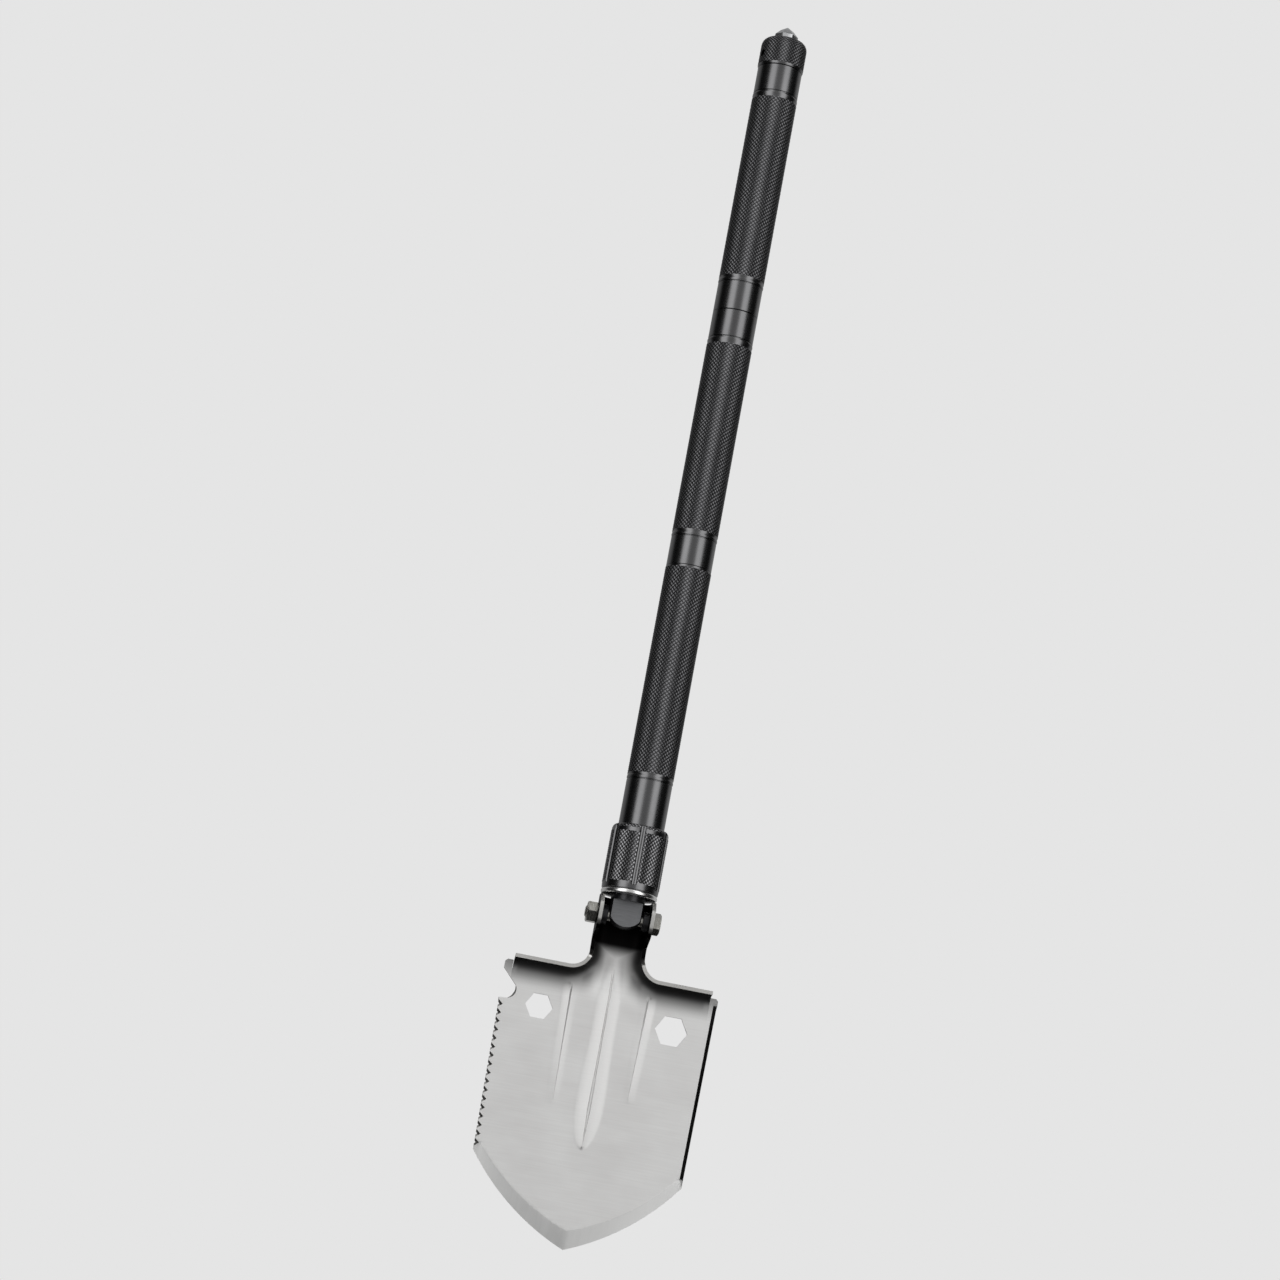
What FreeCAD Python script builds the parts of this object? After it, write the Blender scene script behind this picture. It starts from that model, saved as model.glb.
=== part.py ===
"""Folding camp shovel: a three-section screw-together handle, a pivoting steel blade and a lock collar.

Millimetres, +Z up along the handle, blade at the bottom with its dished face towards -Y.
Each sub-part is drawn with the blade pivot at height 0 and lifted by PIVOT_Z when it is saved, so that the
origin lies on the handle axis in the middle of the bare tube above the lock collar.
"""

import FreeCAD, Part
import math
import os

from FreeCAD import Vector

PIVOT_Z = -77.0  # height of the blade pivot in the part's frame
CLEAR = 60.0  # how far cutting shapes reach past the work

# handle tubes
TUBE_R = 15.5
GRIP_R = 15.8
BORE_R = 13.0
SOCKET_R = 13.5
THREAD_GAP = 0.1  # radial clearance of the plain cylinders that stand for threads
GROOVE = 0.5  # depth and half width of the thin turned grooves
COLLAR_THREAD_R = 14.9
LOWER_START = 22.5
COLLAR_THREAD_TOP = 55.0
JOINT_HEIGHTS = (241.4, 424.1, 605.2)  # where lower, middle and upper tube end
GRIPS = ((95.4, 241.4), (265.1, 401.1), (447.8, 582.5))
GROOVES = ((92.5,), (262.0, 404.5), (444.75, 585.9))  # heights of the turned grooves of each tube
GRIP_CHAMFER = 0.8
FACE_GAP = 0.05  # half the gap between two shoulders that screw together

# threaded spigots between the sections, and their seals
SPIGOT = 22.0
SOCKET_DEPTH = 24.0
CAP_SPIGOT = 12.0
CAP_SOCKET_DEPTH = 14.0
SPIGOT_PLUG = 18.0
SPIGOT_CHAMFER = 1.0
SEAL_R = 13.2
SEAL_SECTION_R = 0.9
SEAL_DROP = 1.3
SEAL_SEAT_R = 14.2
SEAL_SEAT_DEPTH = 2.4
SEAL_GROOVE_R = 12.2
SEAL_GROOVE_HALF = 1.1

# end cap and its point
CAP_R = 16.1
CAP_TOP = 626.9
CAP_SHOULDER = 4.5  # height of the rounded shoulder, drawn as two slopes
CAP_SHOULDER_BREAK = (0.9, 1.5)  # where the slopes meet: in from the side, down from the top
CAP_FACE_INSET = 2.6
CAP_CHAMFER = 0.7
LANYARD_R = 2.2
LANYARD_Z = 614.3
LANYARD_TURN = 22.0  # degrees that the hole's left end is turned toward the front
TIP_BASE_R = 8.7
TIP_BASE = 2.5
TIP_AF = 13.5
TIP_TOP = 638.7
TIP_STUD_R = 4.0
TIP_STUD_DEPTH = 8.0

# joint shaft, pivot and lock
ROD_R = 11.5
ROD_DOME_R = 13.0
ROD_DOME_Z = 5.2
ROD_FLAT_Y = -5.85
ROD_FLAT_TOP = 10.9
PLUG_R = 12.5
PLUG_TOP = 52.0
CROSS_PIN_R = 2.5
CROSS_PIN_HALF = 14.4
CROSS_PIN_Z = 38.0
BOLT_R = 3.95
BOLT_HOLE_R = 4.0
BOLT_HEAD_AF = 13.0
BOLT_HEAD = 5.3
BOLT_END = 1.0  # how far the bolt stands out of the nut
NUT = 7.2
SPACER_R = 6.5
SPACER_GAP = 0.3
WASHER_R = 19.0
WASHER_BORE_R = 11.8
WASHER_Z = (14.1, 17.5)
WASHER_EDGE = 0.9
COLLAR_R = 19.4
COLLAR_Z = (17.6, 61.0)
COLLAR_BORE_R = 15.0
COLLAR_STEP_Z = 50.5
COLLAR_TOP_R = 15.7
COLLAR_FOOT = (0.6, 3.2)  # depth and height of the taper at its foot
COLLAR_ROUND = (2.0, 3.6)  # depth and height of its rounded top

# blade: sheet, ears and neck
SHEET = 2.4
BLADE_Y = 8.0  # front face of the flat blade
EAR_INNER = 16.2
EAR_OUTER = EAR_INNER + SHEET
CAM_R = 14.0
CAM_FLAT = 13.4
FOLD_LIMIT = 160.0
CAM_ANGLES = (0.0, 45.0, 90.0, FOLD_LIMIT)  # fold angles with a locking flat
STOW_GAP = 0.5  # room left round the folded handle
WEB_Y = 14.5  # front face of the neck's back wall
WEB_BOTTOM = -22.0
NECK_BOTTOM = -42.0
NECK_OVERLAP = 6.0  # how far the back wall runs on over the flat blade
WALL_FRONT_Y = 5.2
WALL_FOOT_Y = 1.0  # the side wall widens forward here, into the foot rest
WALL_FOOT_Z = (-38.5, -27.0, -19.0)
FLANGE_TOP = -36.5
BEND_R = 6.8  # inside radius of the foot-rest bend
FLANGE_LIP = 3.0
FLANGE_HALF = 66.75
NECK_FILLET_X = 31.0
NECK_FILLET_Z = -24.5

# blade: outline
TOP_HALF = 72.0
LOW_HALF = 69.75
LOW_Z = -166.6
POINT_Z = -220.0
BELLY = (31.0, -203.6)
TAB_TOP = -40.0
TAB_CORNER = 1.5
HEX_X = 44.6
HEX_Z = -66.8
HEX_AF = {"left": 16.0, "right": 19.0}
HOOK = ((-TOP_HALF, -46.0), (-62.2, -56.2), (-61.6, -61.5), (-66.8, -65.5), (-TOP_HALF, -66.0))
TEETH = 17
TOOTH_PITCH = 5.75
TOOTH_DEPTH = 3.0
TOOTH_LAND = 0.7
SAW_TOP = -67.5
KNIFE_WIDTH = 2.6
KNIFE_DEPTH = 1.9
KNIFE_TOP = -44.5
BEVEL_START = (65.8, -162.0)
BEVEL_END = (0.0, -208.0)
BEVEL_SLOPE = 0.15

X_AXIS = Vector(1, 0, 0)
Y_AXIS = Vector(0, 1, 0)
Z_AXIS = Vector(0, 0, 1)


def save(shape, node):
    """Write one sub-part, lifted into the part's frame."""
    shape = shape.removeSplitter()
    shape.translate(Vector(0, 0, PIVOT_Z))
    shape.exportStep("parts/" + node + ".step")


def turned(profile):
    """Solid of revolution about Z from (radius, height) corners."""
    points = [Vector(r, 0, z) for r, z in profile]
    face = Part.Face(Part.makePolygon(points + points[:1]))
    return face.revolve(Vector(), Z_AXIS, 360)


def cylinder(radius, low, high, axis=Z_AXIS, centre=Vector()):
    """Cylinder along an axis from one distance to another past the centre."""
    return Part.makeCylinder(radius, high - low, centre + axis * low, axis)


def prism_x(points, low, high):
    """Extrusion along X of a polygon given as (y, z) corners."""
    corners = [Vector(low, y, z) for y, z in points]
    face = Part.Face(Part.makePolygon(corners + corners[:1]))
    return face.extrude(X_AXIS * (high - low))


def prism_y(points, low, high):
    """Extrusion along Y of a polygon given as (x, z) corners."""
    corners = [Vector(x, low, z) for x, z in points]
    face = Part.Face(Part.makePolygon(corners + corners[:1]))
    return face.extrude(Y_AXIS * (high - low))


def hexagon(across_flats, turn=0.0):
    """Corners of a hexagon about the origin, its first corner at the given angle in degrees."""
    radius = across_flats / math.sqrt(3)
    angles = [math.radians(turn + 60 * i) for i in range(6)]
    return [(radius * math.cos(a), radius * math.sin(a)) for a in angles]


def mirrored(shape):
    """The shape and its mirror image across the YZ plane, in one."""
    return shape.fuse(shape.mirror(Vector(), X_AXIS))


def grip_profile(low, high):
    """Outer corners of a knurled grip, a little proud of the tube, with chamfered ends."""
    return [
        (TUBE_R, low),
        (GRIP_R, low + GRIP_CHAMFER),
        (GRIP_R, high - GRIP_CHAMFER),
        (TUBE_R, high),
    ]


def groove_profile(height):
    """Outer corners of a thin turned groove."""
    return [
        (TUBE_R, height - GROOVE),
        (TUBE_R - GROOVE, height - GROOVE),
        (TUBE_R - GROOVE, height + GROOVE),
        (TUBE_R, height + GROOVE),
    ]


def socket_profile(top, depth):
    """Bore corners, from the mouth down, of a threaded socket with a seat for its seal."""
    return [
        (SEAL_SEAT_R, top),
        (SEAL_SEAT_R, top - SEAL_SEAT_DEPTH),
        (SOCKET_R, top - SEAL_SEAT_DEPTH),
        (SOCKET_R, top - depth),
        (BORE_R, top - depth),
    ]


def spigot_profile(shoulder, length):
    """Outer corners, from the tip up, of a threaded spigot with a groove for its seal."""
    radius = SOCKET_R - THREAD_GAP
    seal = shoulder - SEAL_DROP
    return [
        (radius - SPIGOT_CHAMFER, shoulder - length),
        (radius, shoulder - length + SPIGOT_CHAMFER),
        (radius, seal - SEAL_GROOVE_HALF),
        (SEAL_GROOVE_R, seal - SEAL_GROOVE_HALF),
        (SEAL_GROOVE_R, shoulder),
    ]


def lower_tube():
    """Lowest handle tube: collar thread, bare stretch, knurled grip and the socket for the middle section."""
    top = JOINT_HEIGHTS[0] - FACE_GAP
    grip_low = GRIPS[0][0]
    outside = [
        (COLLAR_THREAD_R, LOWER_START),
        (COLLAR_THREAD_R, COLLAR_THREAD_TOP),
        (TUBE_R, COLLAR_THREAD_TOP),
    ]
    outside += groove_profile(GROOVES[0][0]) + grip_profile(grip_low, top)
    inside = socket_profile(top, SOCKET_DEPTH)
    inside += [(BORE_R, PLUG_TOP), (PLUG_R, PLUG_TOP), (PLUG_R, LOWER_START)]
    return turned(outside + inside).cut(cross_pin())


def upper_section_tube(index, socket_depth):
    """Middle or upper handle tube, with the grip between two bare ends."""
    low = JOINT_HEIGHTS[index - 1] + FACE_GAP
    top = JOINT_HEIGHTS[index] - FACE_GAP
    grip_low, grip_high = GRIPS[index]
    outside = [(TUBE_R, low)] + groove_profile(GROOVES[index][0])
    outside += grip_profile(grip_low, grip_high) + groove_profile(GROOVES[index][1]) + [(TUBE_R, top)]
    inside = socket_profile(top, socket_depth) + [(BORE_R, low)]
    return turned(outside + inside)


def coupler(index):
    """Threaded plug pressed into the foot of a tube, screwing into the section below."""
    shoulder = JOINT_HEIGHTS[index] + FACE_GAP
    profile = [(0, shoulder - SPIGOT)] + spigot_profile(shoulder, SPIGOT)
    profile += [(BORE_R, shoulder), (BORE_R, shoulder + SPIGOT_PLUG), (0, shoulder + SPIGOT_PLUG)]
    return turned(profile)


def seal(index):
    """Rubber ring in the groove at the root of a spigot."""
    height = JOINT_HEIGHTS[index] + FACE_GAP - SEAL_DROP
    return Part.makeTorus(SEAL_R, SEAL_SECTION_R, Vector(0, 0, height), Z_AXIS)


def end_cap():
    """Knurled cap with a threaded spigot, a cross hole for a lanyard and a seat for the point's stud."""
    low = JOINT_HEIGHTS[2] + FACE_GAP
    profile = [(0, low - CAP_SPIGOT)] + spigot_profile(low, CAP_SPIGOT)
    profile += [
        (CAP_R - CAP_CHAMFER, low),
        (CAP_R, low + CAP_CHAMFER),
        (CAP_R, CAP_TOP - CAP_SHOULDER),
        (CAP_R - CAP_SHOULDER_BREAK[0], CAP_TOP - CAP_SHOULDER_BREAK[1]),
        (CAP_R - CAP_FACE_INSET, CAP_TOP),
        (TIP_STUD_R, CAP_TOP),
        (TIP_STUD_R, CAP_TOP - TIP_STUD_DEPTH),
        (0, CAP_TOP - TIP_STUD_DEPTH),
    ]
    turn = math.radians(LANYARD_TURN)
    along = Vector(math.cos(turn), math.sin(turn), 0)
    lanyard_hole = cylinder(LANYARD_R, -CLEAR, CLEAR, along, Vector(0, 0, LANYARD_Z))
    return turned(profile).cut(lanyard_hole)


def breaker_tip():
    """Hardened point: a hexagonal pyramid on a round base, with a stud into the cap."""
    base = cylinder(TIP_BASE_R, CAP_TOP, CAP_TOP + TIP_BASE)
    stud = cylinder(TIP_STUD_R, CAP_TOP - TIP_STUD_DEPTH, CAP_TOP)
    foot = [Vector(x, y, CAP_TOP + TIP_BASE) for x, y in hexagon(TIP_AF, 30)]
    apex = Vector(0, 0, TIP_TOP)
    sides = [Part.makePolygon([foot[i - 1], foot[i], apex, foot[i - 1]]) for i in range(6)]
    faces = [Part.Face(w) for w in sides] + [Part.Face(Part.makePolygon(foot + foot[:1]))]
    pyramid = Part.Solid(Part.Shell(faces))
    if pyramid.Volume < 0:
        pyramid.reverse()
    return base.fuse(stud).fuse(pyramid)


def cross_pin():
    """Pin through the lowest tube and the joint shaft, hidden under the lock collar."""
    return cylinder(CROSS_PIN_R, -CROSS_PIN_HALF, CROSS_PIN_HALF, Y_AXIS, Vector(0, 0, CROSS_PIN_Z))


def joint_shaft():
    """Steel rod with a domed, flatted foot for the pivot and a plug that fills the lowest tube's foot."""
    rod = cylinder(ROD_R, ROD_DOME_Z - CLEAR, LOWER_START)
    dome = Part.makeSphere(ROD_DOME_R, Vector(0, 0, ROD_DOME_Z))
    dome = dome.fuse(cylinder(ROD_DOME_R, ROD_DOME_Z, LOWER_START))
    flat = Part.makeBox(2 * CLEAR, CLEAR, ROD_FLAT_TOP + CLEAR, Vector(-CLEAR, ROD_FLAT_Y - CLEAR, -CLEAR))
    plug = cylinder(PLUG_R, LOWER_START, PLUG_TOP)
    pivot_hole = cylinder(BOLT_HOLE_R, -CLEAR, CLEAR, X_AXIS)
    return rod.common(dome).cut(flat).fuse(plug).cut(pivot_hole).cut(cross_pin())


def pivot_bolt():
    """Hex bolt along X, with its head outside the right ear."""
    head = prism_x(hexagon(BOLT_HEAD_AF, 90), EAR_OUTER, EAR_OUTER + BOLT_HEAD)
    return cylinder(BOLT_R, -EAR_OUTER - NUT - BOLT_END, EAR_OUTER, X_AXIS).fuse(head)


def pivot_nut():
    """Hex lock nut outside the left ear."""
    body = prism_x(hexagon(BOLT_HEAD_AF, 60), -EAR_OUTER - NUT, -EAR_OUTER)
    return body.cut(cylinder(BOLT_R, -CLEAR, 0, X_AXIS))


def spacer(side):
    """Sleeve on the bolt that fills the room between the joint shaft and one ear."""
    low, high = ROD_R + SPACER_GAP, EAR_INNER
    if side < 0:
        low, high = -high, -low
    return cylinder(SPACER_R, low, high, X_AXIS).cut(cylinder(BOLT_R, low, high, X_AXIS))


def thrust_washer():
    """Thick polished washer that the collar presses onto the ears' flats."""
    low, high = WASHER_Z
    return turned(
        [
            (WASHER_BORE_R, low),
            (WASHER_R - WASHER_EDGE, low),
            (WASHER_R, low + WASHER_EDGE),
            (WASHER_R, high - WASHER_EDGE),
            (WASHER_R - WASHER_EDGE, high),
            (WASHER_BORE_R, high),
        ]
    )


def lock_collar():
    """Knurled collar nut that screws along the lowest tube and locks the blade."""
    low, high = COLLAR_Z
    return turned(
        [
            (COLLAR_BORE_R, low),
            (COLLAR_R - COLLAR_FOOT[0], low),
            (COLLAR_R, low + COLLAR_FOOT[1]),
            (COLLAR_R, high - COLLAR_ROUND[1]),
            (COLLAR_R - COLLAR_ROUND[0], high),
            (COLLAR_TOP_R, high),
            (COLLAR_TOP_R, COLLAR_STEP_Z),
            (COLLAR_BORE_R, COLLAR_STEP_Z),
        ]
    )


def ear_side():
    """One ear in side view: a cam disc with locking flats, joined to the neck's side wall."""
    cam = cylinder(CAM_R, EAR_INNER, EAR_OUTER, X_AXIS)
    for angle in CAM_ANGLES:
        a = math.radians(angle)
        out = Vector(0, -math.sin(a), math.cos(a))
        cutter = Part.makeBox(CLEAR, 2 * CLEAR, CLEAR, Vector(0, -CLEAR, CAM_FLAT))
        cutter.rotate(Vector(), X_AXIS, math.degrees(math.atan2(-out.y, out.z)))
        cam = cam.cut(cutter)
    wall = prism_x(
        [
            (0, CAM_FLAT),
            (WEB_Y + SHEET, CAM_FLAT),
            (WEB_Y + SHEET, WEB_BOTTOM),
            (BLADE_Y + SHEET, NECK_BOTTOM),
            (WALL_FOOT_Y, WALL_FOOT_Z[0]),
            (WALL_FOOT_Y, WALL_FOOT_Z[1]),
            (WALL_FRONT_Y, WALL_FOOT_Z[2]),
            (WALL_FRONT_Y, 0),
            (0, 0),
        ],
        EAR_INNER,
        EAR_OUTER,
    )
    return cam.fuse(wall)


def neck():
    """Both ears, and the back wall that slopes forward to the blade."""
    back = prism_x(
        [
            (WEB_Y, CAM_FLAT),
            (WEB_Y, WEB_BOTTOM),
            (BLADE_Y, NECK_BOTTOM),
            (BLADE_Y, NECK_BOTTOM - NECK_OVERLAP),
            (BLADE_Y + SHEET, NECK_BOTTOM - NECK_OVERLAP),
            (BLADE_Y + SHEET, NECK_BOTTOM),
            (WEB_Y + SHEET, WEB_BOTTOM),
            (WEB_Y + SHEET, CAM_FLAT),
        ],
        -EAR_OUTER,
        EAR_OUTER,
    )
    bolt_hole = cylinder(BOLT_R, -CLEAR, CLEAR, X_AXIS)
    return mirrored(ear_side()).fuse(back).cut(bolt_hole)


def flange_section(radial):
    """Corners and arcs of the bent shoulder, drawn in the YZ plane at the given X."""
    centre_y = BLADE_Y - BEND_R
    centre_z = FLANGE_TOP - SHEET - BEND_R
    lip_y = centre_y - FLANGE_LIP
    outer, inner = BEND_R + SHEET, BEND_R
    half = math.sqrt(0.5)

    def at(y, z):
        return Vector(radial, y, z)

    edges = [
        Part.LineSegment(at(lip_y, centre_z + inner), at(lip_y, centre_z + outer)),
        Part.LineSegment(at(lip_y, centre_z + outer), at(centre_y, centre_z + outer)),
        Part.Arc(
            at(centre_y, centre_z + outer),
            at(centre_y + outer * half, centre_z + outer * half),
            at(centre_y + outer, centre_z),
        ),
        Part.LineSegment(at(centre_y + outer, centre_z), at(centre_y + inner, centre_z)),
        Part.Arc(
            at(centre_y + inner, centre_z),
            at(centre_y + inner * half, centre_z + inner * half),
            at(centre_y, centre_z + inner),
        ),
        Part.LineSegment(at(centre_y, centre_z + inner), at(lip_y, centre_z + inner)),
    ]
    return Part.Face(Part.Wire([e.toShape() for e in edges]))


def shoulder():
    """Right foot rest: a straight bent flange that turns up into the neck's side wall."""
    section = flange_section(NECK_FILLET_X)
    straight = section.extrude(X_AXIS * (FLANGE_HALF - NECK_FILLET_X))
    centre = Vector(NECK_FILLET_X, 0, NECK_FILLET_Z)
    corner = section.revolve(centre, Y_AXIS, 90)
    bend = NECK_FILLET_Z - (FLANGE_TOP - SHEET - BEND_R)
    web = Part.makeBox(NECK_FILLET_X, SHEET, bend, Vector(0, BLADE_Y, NECK_FILLET_Z - bend))
    web = web.cut(cylinder(bend, 0, CLEAR, Y_AXIS, centre))
    return straight.fuse(corner).fuse(web)


def blade_outline():
    """Flat sheet of the blade before its holes, hook and teeth."""
    bend_z = FLANGE_TOP - SHEET - BEND_R
    side = [
        (LOW_HALF, LOW_Z),
        (TOP_HALF, TAB_TOP - TAB_CORNER),
        (TOP_HALF - TAB_CORNER, TAB_TOP),
        (FLANGE_HALF, TAB_TOP),
        (FLANGE_HALF, bend_z),
    ]
    points = [Vector(x, BLADE_Y, z) for x, z in side]
    points += [Vector(-x, BLADE_Y, z) for x, z in reversed(side)]
    upper = Part.makePolygon(points)
    point = Vector(0, BLADE_Y, POINT_Z)
    belly_x, belly_z = BELLY
    left = Part.Arc(points[-1], Vector(-belly_x, BLADE_Y, belly_z), point)
    right = Part.Arc(point, Vector(belly_x, BLADE_Y, belly_z), points[0])
    outline = Part.Wire(upper.Edges + [left.toShape(), right.toShape()])
    return Part.Face(outline).extrude(Y_AXIS * SHEET)


def edge_x(height):
    """Half width of the blade at a height between its shoulders and its lower corners."""
    share = (TAB_TOP - height) / (TAB_TOP - LOW_Z)
    return TOP_HALF + (LOW_HALF - TOP_HALF) * share


def hook_cutter():
    """Round-bottomed notch in the left edge, for pulling wire and nails."""
    mouth_high, throat, bottom, end, lip = [Vector(x, 0, z) for x, z in HOOK]
    outside = X_AXIS * CLEAR
    edges = [
        Part.LineSegment(mouth_high, throat),
        Part.Arc(throat, bottom, end),
        Part.LineSegment(end, lip),
        Part.LineSegment(lip, lip - outside),
        Part.LineSegment(lip - outside, mouth_high - outside),
        Part.LineSegment(mouth_high - outside, mouth_high),
    ]
    face = Part.Face(Part.Wire([e.toShape() for e in edges]))
    return face.extrude(Y_AXIS * CLEAR)


def tooth_gaps():
    """The gaps between the saw teeth on the left edge."""
    gaps = []
    for i in range(TEETH):
        high = SAW_TOP - i * TOOTH_PITCH
        low = high - TOOTH_PITCH + TOOTH_LAND
        middle = (high + low) / 2
        edge = -edge_x(middle)
        gaps.append(prism_y([(edge - 1, high), (edge + TOOTH_DEPTH, middle), (edge - 1, low)], 0, CLEAR))
    return Part.makeCompound(gaps)


def knife_cutter():
    """Wedge that bevels the right edge from the front."""
    high, low = Vector(edge_x(KNIFE_TOP), BLADE_Y, KNIFE_TOP), Vector(LOW_HALF, BLADE_Y, LOW_Z)
    inner, past = X_AXIS * KNIFE_WIDTH, X_AXIS
    corners = [high - inner, high + past, high + past + Y_AXIS * KNIFE_DEPTH, high - inner]
    return Part.Face(Part.makePolygon(corners)).extrude(low - high)


def point_cutter():
    """Wedge that bevels the right half of the digging edge from the front."""
    start = Vector(BEVEL_START[0], BLADE_Y, BEVEL_START[1])
    end = Vector(BEVEL_END[0], BLADE_Y, BEVEL_END[1])
    along = (end - start).normalize()
    out = Vector(-along.z, 0, along.x) * CLEAR
    deep = out + Y_AXIS * (CLEAR * BEVEL_SLOPE)
    start = start - along * CLEAR
    end = end + along * CLEAR
    corners = [start, start + out - Y_AXIS, start + deep, start]
    wedge = Part.Face(Part.makePolygon(corners)).extrude(end - start)
    return wedge


def stowed_handle():
    """Room that the collar needs once the blade is folded, in the unfolded blade's place."""
    room = cylinder(COLLAR_R + STOW_GAP, COLLAR_Z[0], COLLAR_Z[1] + CLEAR)
    room.rotate(Vector(), X_AXIS, FOLD_LIMIT)
    return room


def blade():
    """The whole pressed steel blade, one sheet from ears to point."""
    sheet = blade_outline()
    for side, sign in (("left", -1), ("right", 1)):
        corners = [(HEX_X * sign + x, HEX_Z + z) for x, z in hexagon(HEX_AF[side])]
        sheet = sheet.cut(prism_y(corners, 0, CLEAR))
    right_half = Part.makeBox(2 * CLEAR, 2 * CLEAR, -2 * POINT_Z, Vector(0, -CLEAR, 2 * POINT_Z))
    bevel = point_cutter().common(right_half)
    sheet = sheet.cut(hook_cutter()).cut(tooth_gaps()).cut(knife_cutter()).cut(mirrored(bevel))
    shoulders = mirrored(shoulder())
    trough = prism_x(
        [(BLADE_Y, NECK_BOTTOM), (WEB_Y, WEB_BOTTOM), (WEB_Y, CLEAR), (-CLEAR, CLEAR), (-CLEAR, NECK_BOTTOM)],
        -EAR_INNER,
        EAR_INNER,
    )
    return sheet.fuse(shoulders).cut(trough).fuse(neck()).cut(stowed_handle())


os.makedirs("parts", exist_ok=True)
save(lower_tube(), "lower_tube")
save(upper_section_tube(1, SOCKET_DEPTH), "middle_tube")
save(upper_section_tube(2, CAP_SOCKET_DEPTH), "upper_tube")
save(coupler(0), "middle_coupler")
save(coupler(1), "upper_coupler")
save(seal(0), "lower_seal")
save(seal(1), "upper_seal")
save(seal(2), "cap_seal")
save(end_cap(), "end_cap")
save(breaker_tip(), "breaker_tip")
save(joint_shaft(), "joint_shaft")
save(cross_pin(), "cross_pin")
save(pivot_bolt(), "pivot_bolt")
save(pivot_nut(), "pivot_nut")
save(spacer(-1), "left_spacer")
save(spacer(1), "right_spacer")
save(thrust_washer(), "thrust_washer")
save(lock_collar(), "lock_collar")
save(blade(), "blade")
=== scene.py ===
"""Folding camp shovel: a black three-section handle, a steel folding joint and a bright pressed blade."""

import math

import bpy
import numpy as np
from mathutils import Matrix, Vector
from mathutils.geometry import delaunay_2d_cdt


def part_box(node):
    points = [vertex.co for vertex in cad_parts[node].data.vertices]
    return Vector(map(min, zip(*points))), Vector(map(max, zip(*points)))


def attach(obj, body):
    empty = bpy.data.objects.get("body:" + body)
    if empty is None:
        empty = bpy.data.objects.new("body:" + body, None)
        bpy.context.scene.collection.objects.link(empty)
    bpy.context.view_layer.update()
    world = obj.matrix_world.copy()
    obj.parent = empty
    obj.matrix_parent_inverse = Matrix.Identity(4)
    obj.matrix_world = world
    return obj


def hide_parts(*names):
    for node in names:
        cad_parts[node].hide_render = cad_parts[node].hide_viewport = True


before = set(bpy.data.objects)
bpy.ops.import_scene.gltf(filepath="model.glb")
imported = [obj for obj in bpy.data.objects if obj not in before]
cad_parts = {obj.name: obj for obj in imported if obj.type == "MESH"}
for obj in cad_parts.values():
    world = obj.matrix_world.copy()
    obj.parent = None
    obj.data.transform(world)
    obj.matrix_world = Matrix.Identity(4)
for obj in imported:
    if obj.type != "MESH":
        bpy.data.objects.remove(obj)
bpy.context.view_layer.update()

# ------------------------------------------------------------------------------------------------
# Handle tubes. Three lengths of 31 mm aluminium tube, turned between centres, diamond-knurled over
# the grips and anodised black. Each has a threaded socket at its top for the piece above it.
# ------------------------------------------------------------------------------------------------
MM = 0.001
TUBE_R = 15.5
GRIP_R = 15.8
BORE_R = 13.0
SOCKET_R = 13.5
SEAL_SEAT_R = 14.2
SEAL_SEAT_DEPTH = 2.4
COLLAR_THREAD_R = 14.9
COLLAR_THREAD = 32.5  # length of the collar's thread at the foot of the lowest tube
COLLAR_THREAD_DEPTH = 0.5
PLUG_R = 12.5
PLUG_DEPTH = 29.5
THREAD_PITCH = 2.0
THREAD_DEPTH = 0.6
THREAD_ROWS = 6  # rows of points in one pitch
THREAD_FADE = 3  # a thread runs out over a third of its length at each end
SOCKET_LEAD = 0.5  # how far below the seal's seat a socket's thread starts
SOCKET_RELIEF = 1.0  # plain length at the bottom of a socket
EDGE = 0.4  # broken edge of a turned end
GROOVE = 0.5
BEAD = 0.25  # how proud the polished bead between groove and grip stands
BEAD_WIDTH = 2.2
GRIP_STEP = 0.2  # slope between a bare end and the root of its knurl
KNURLED = 1  # material slot of knurled faces
KNURL_LEAST = 0.15  # least height of a diamond that counts as knurled
GRIP_PITCH = 2.8  # diagonal of one diamond, coarser than the real 1.6 so that it shows
GRIP_DEPTH = 0.36
# tube: socket depth, grip start and end, and groove heights, all above the tube's foot
TUBES = {
    "lower_tube": (24.0, 72.9, 218.85, (70.0,)),
    "middle_tube": (24.0, 23.65, 159.65, (20.55, 163.25)),
    "upper_tube": (14.0, 23.65, 158.35, (20.65, 161.55)),
}


def linear(colour):
    """Linear RGBA of an sRGB hex colour."""
    channels = [int(colour[i : i + 2], 16) / 255 for i in (1, 3, 5)]
    return [c / 12.92 if c <= 0.04045 else ((c + 0.055) / 1.055) ** 2.4 for c in channels] + [1.0]


def add_node(tree, kind, inputs=None, **settings):
    """Add a node, set its properties, and fill its inputs with values or links."""
    node = tree.nodes.new(kind)
    for name, value in settings.items():
        setattr(node, name, value)
    for name, value in (inputs or {}).items():
        if isinstance(value, bpy.types.NodeSocket):
            tree.links.new(value, node.inputs[name])
        else:
            node.inputs[name].default_value = value
    return node


def new_finish(name, **shader_values):
    """A material with a Principled shader, whose constant values are set on its own sockets."""
    material = bpy.data.materials.new(name)
    material.use_nodes = True
    tree = material.node_tree
    tree.nodes.clear()
    values = {key.replace("_", " "): value for key, value in shader_values.items()}
    shader = add_node(tree, "ShaderNodeBsdfPrincipled", values)
    add_node(tree, "ShaderNodeOutputMaterial", {"Surface": shader.outputs["BSDF"]})
    return material, tree, shader


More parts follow.
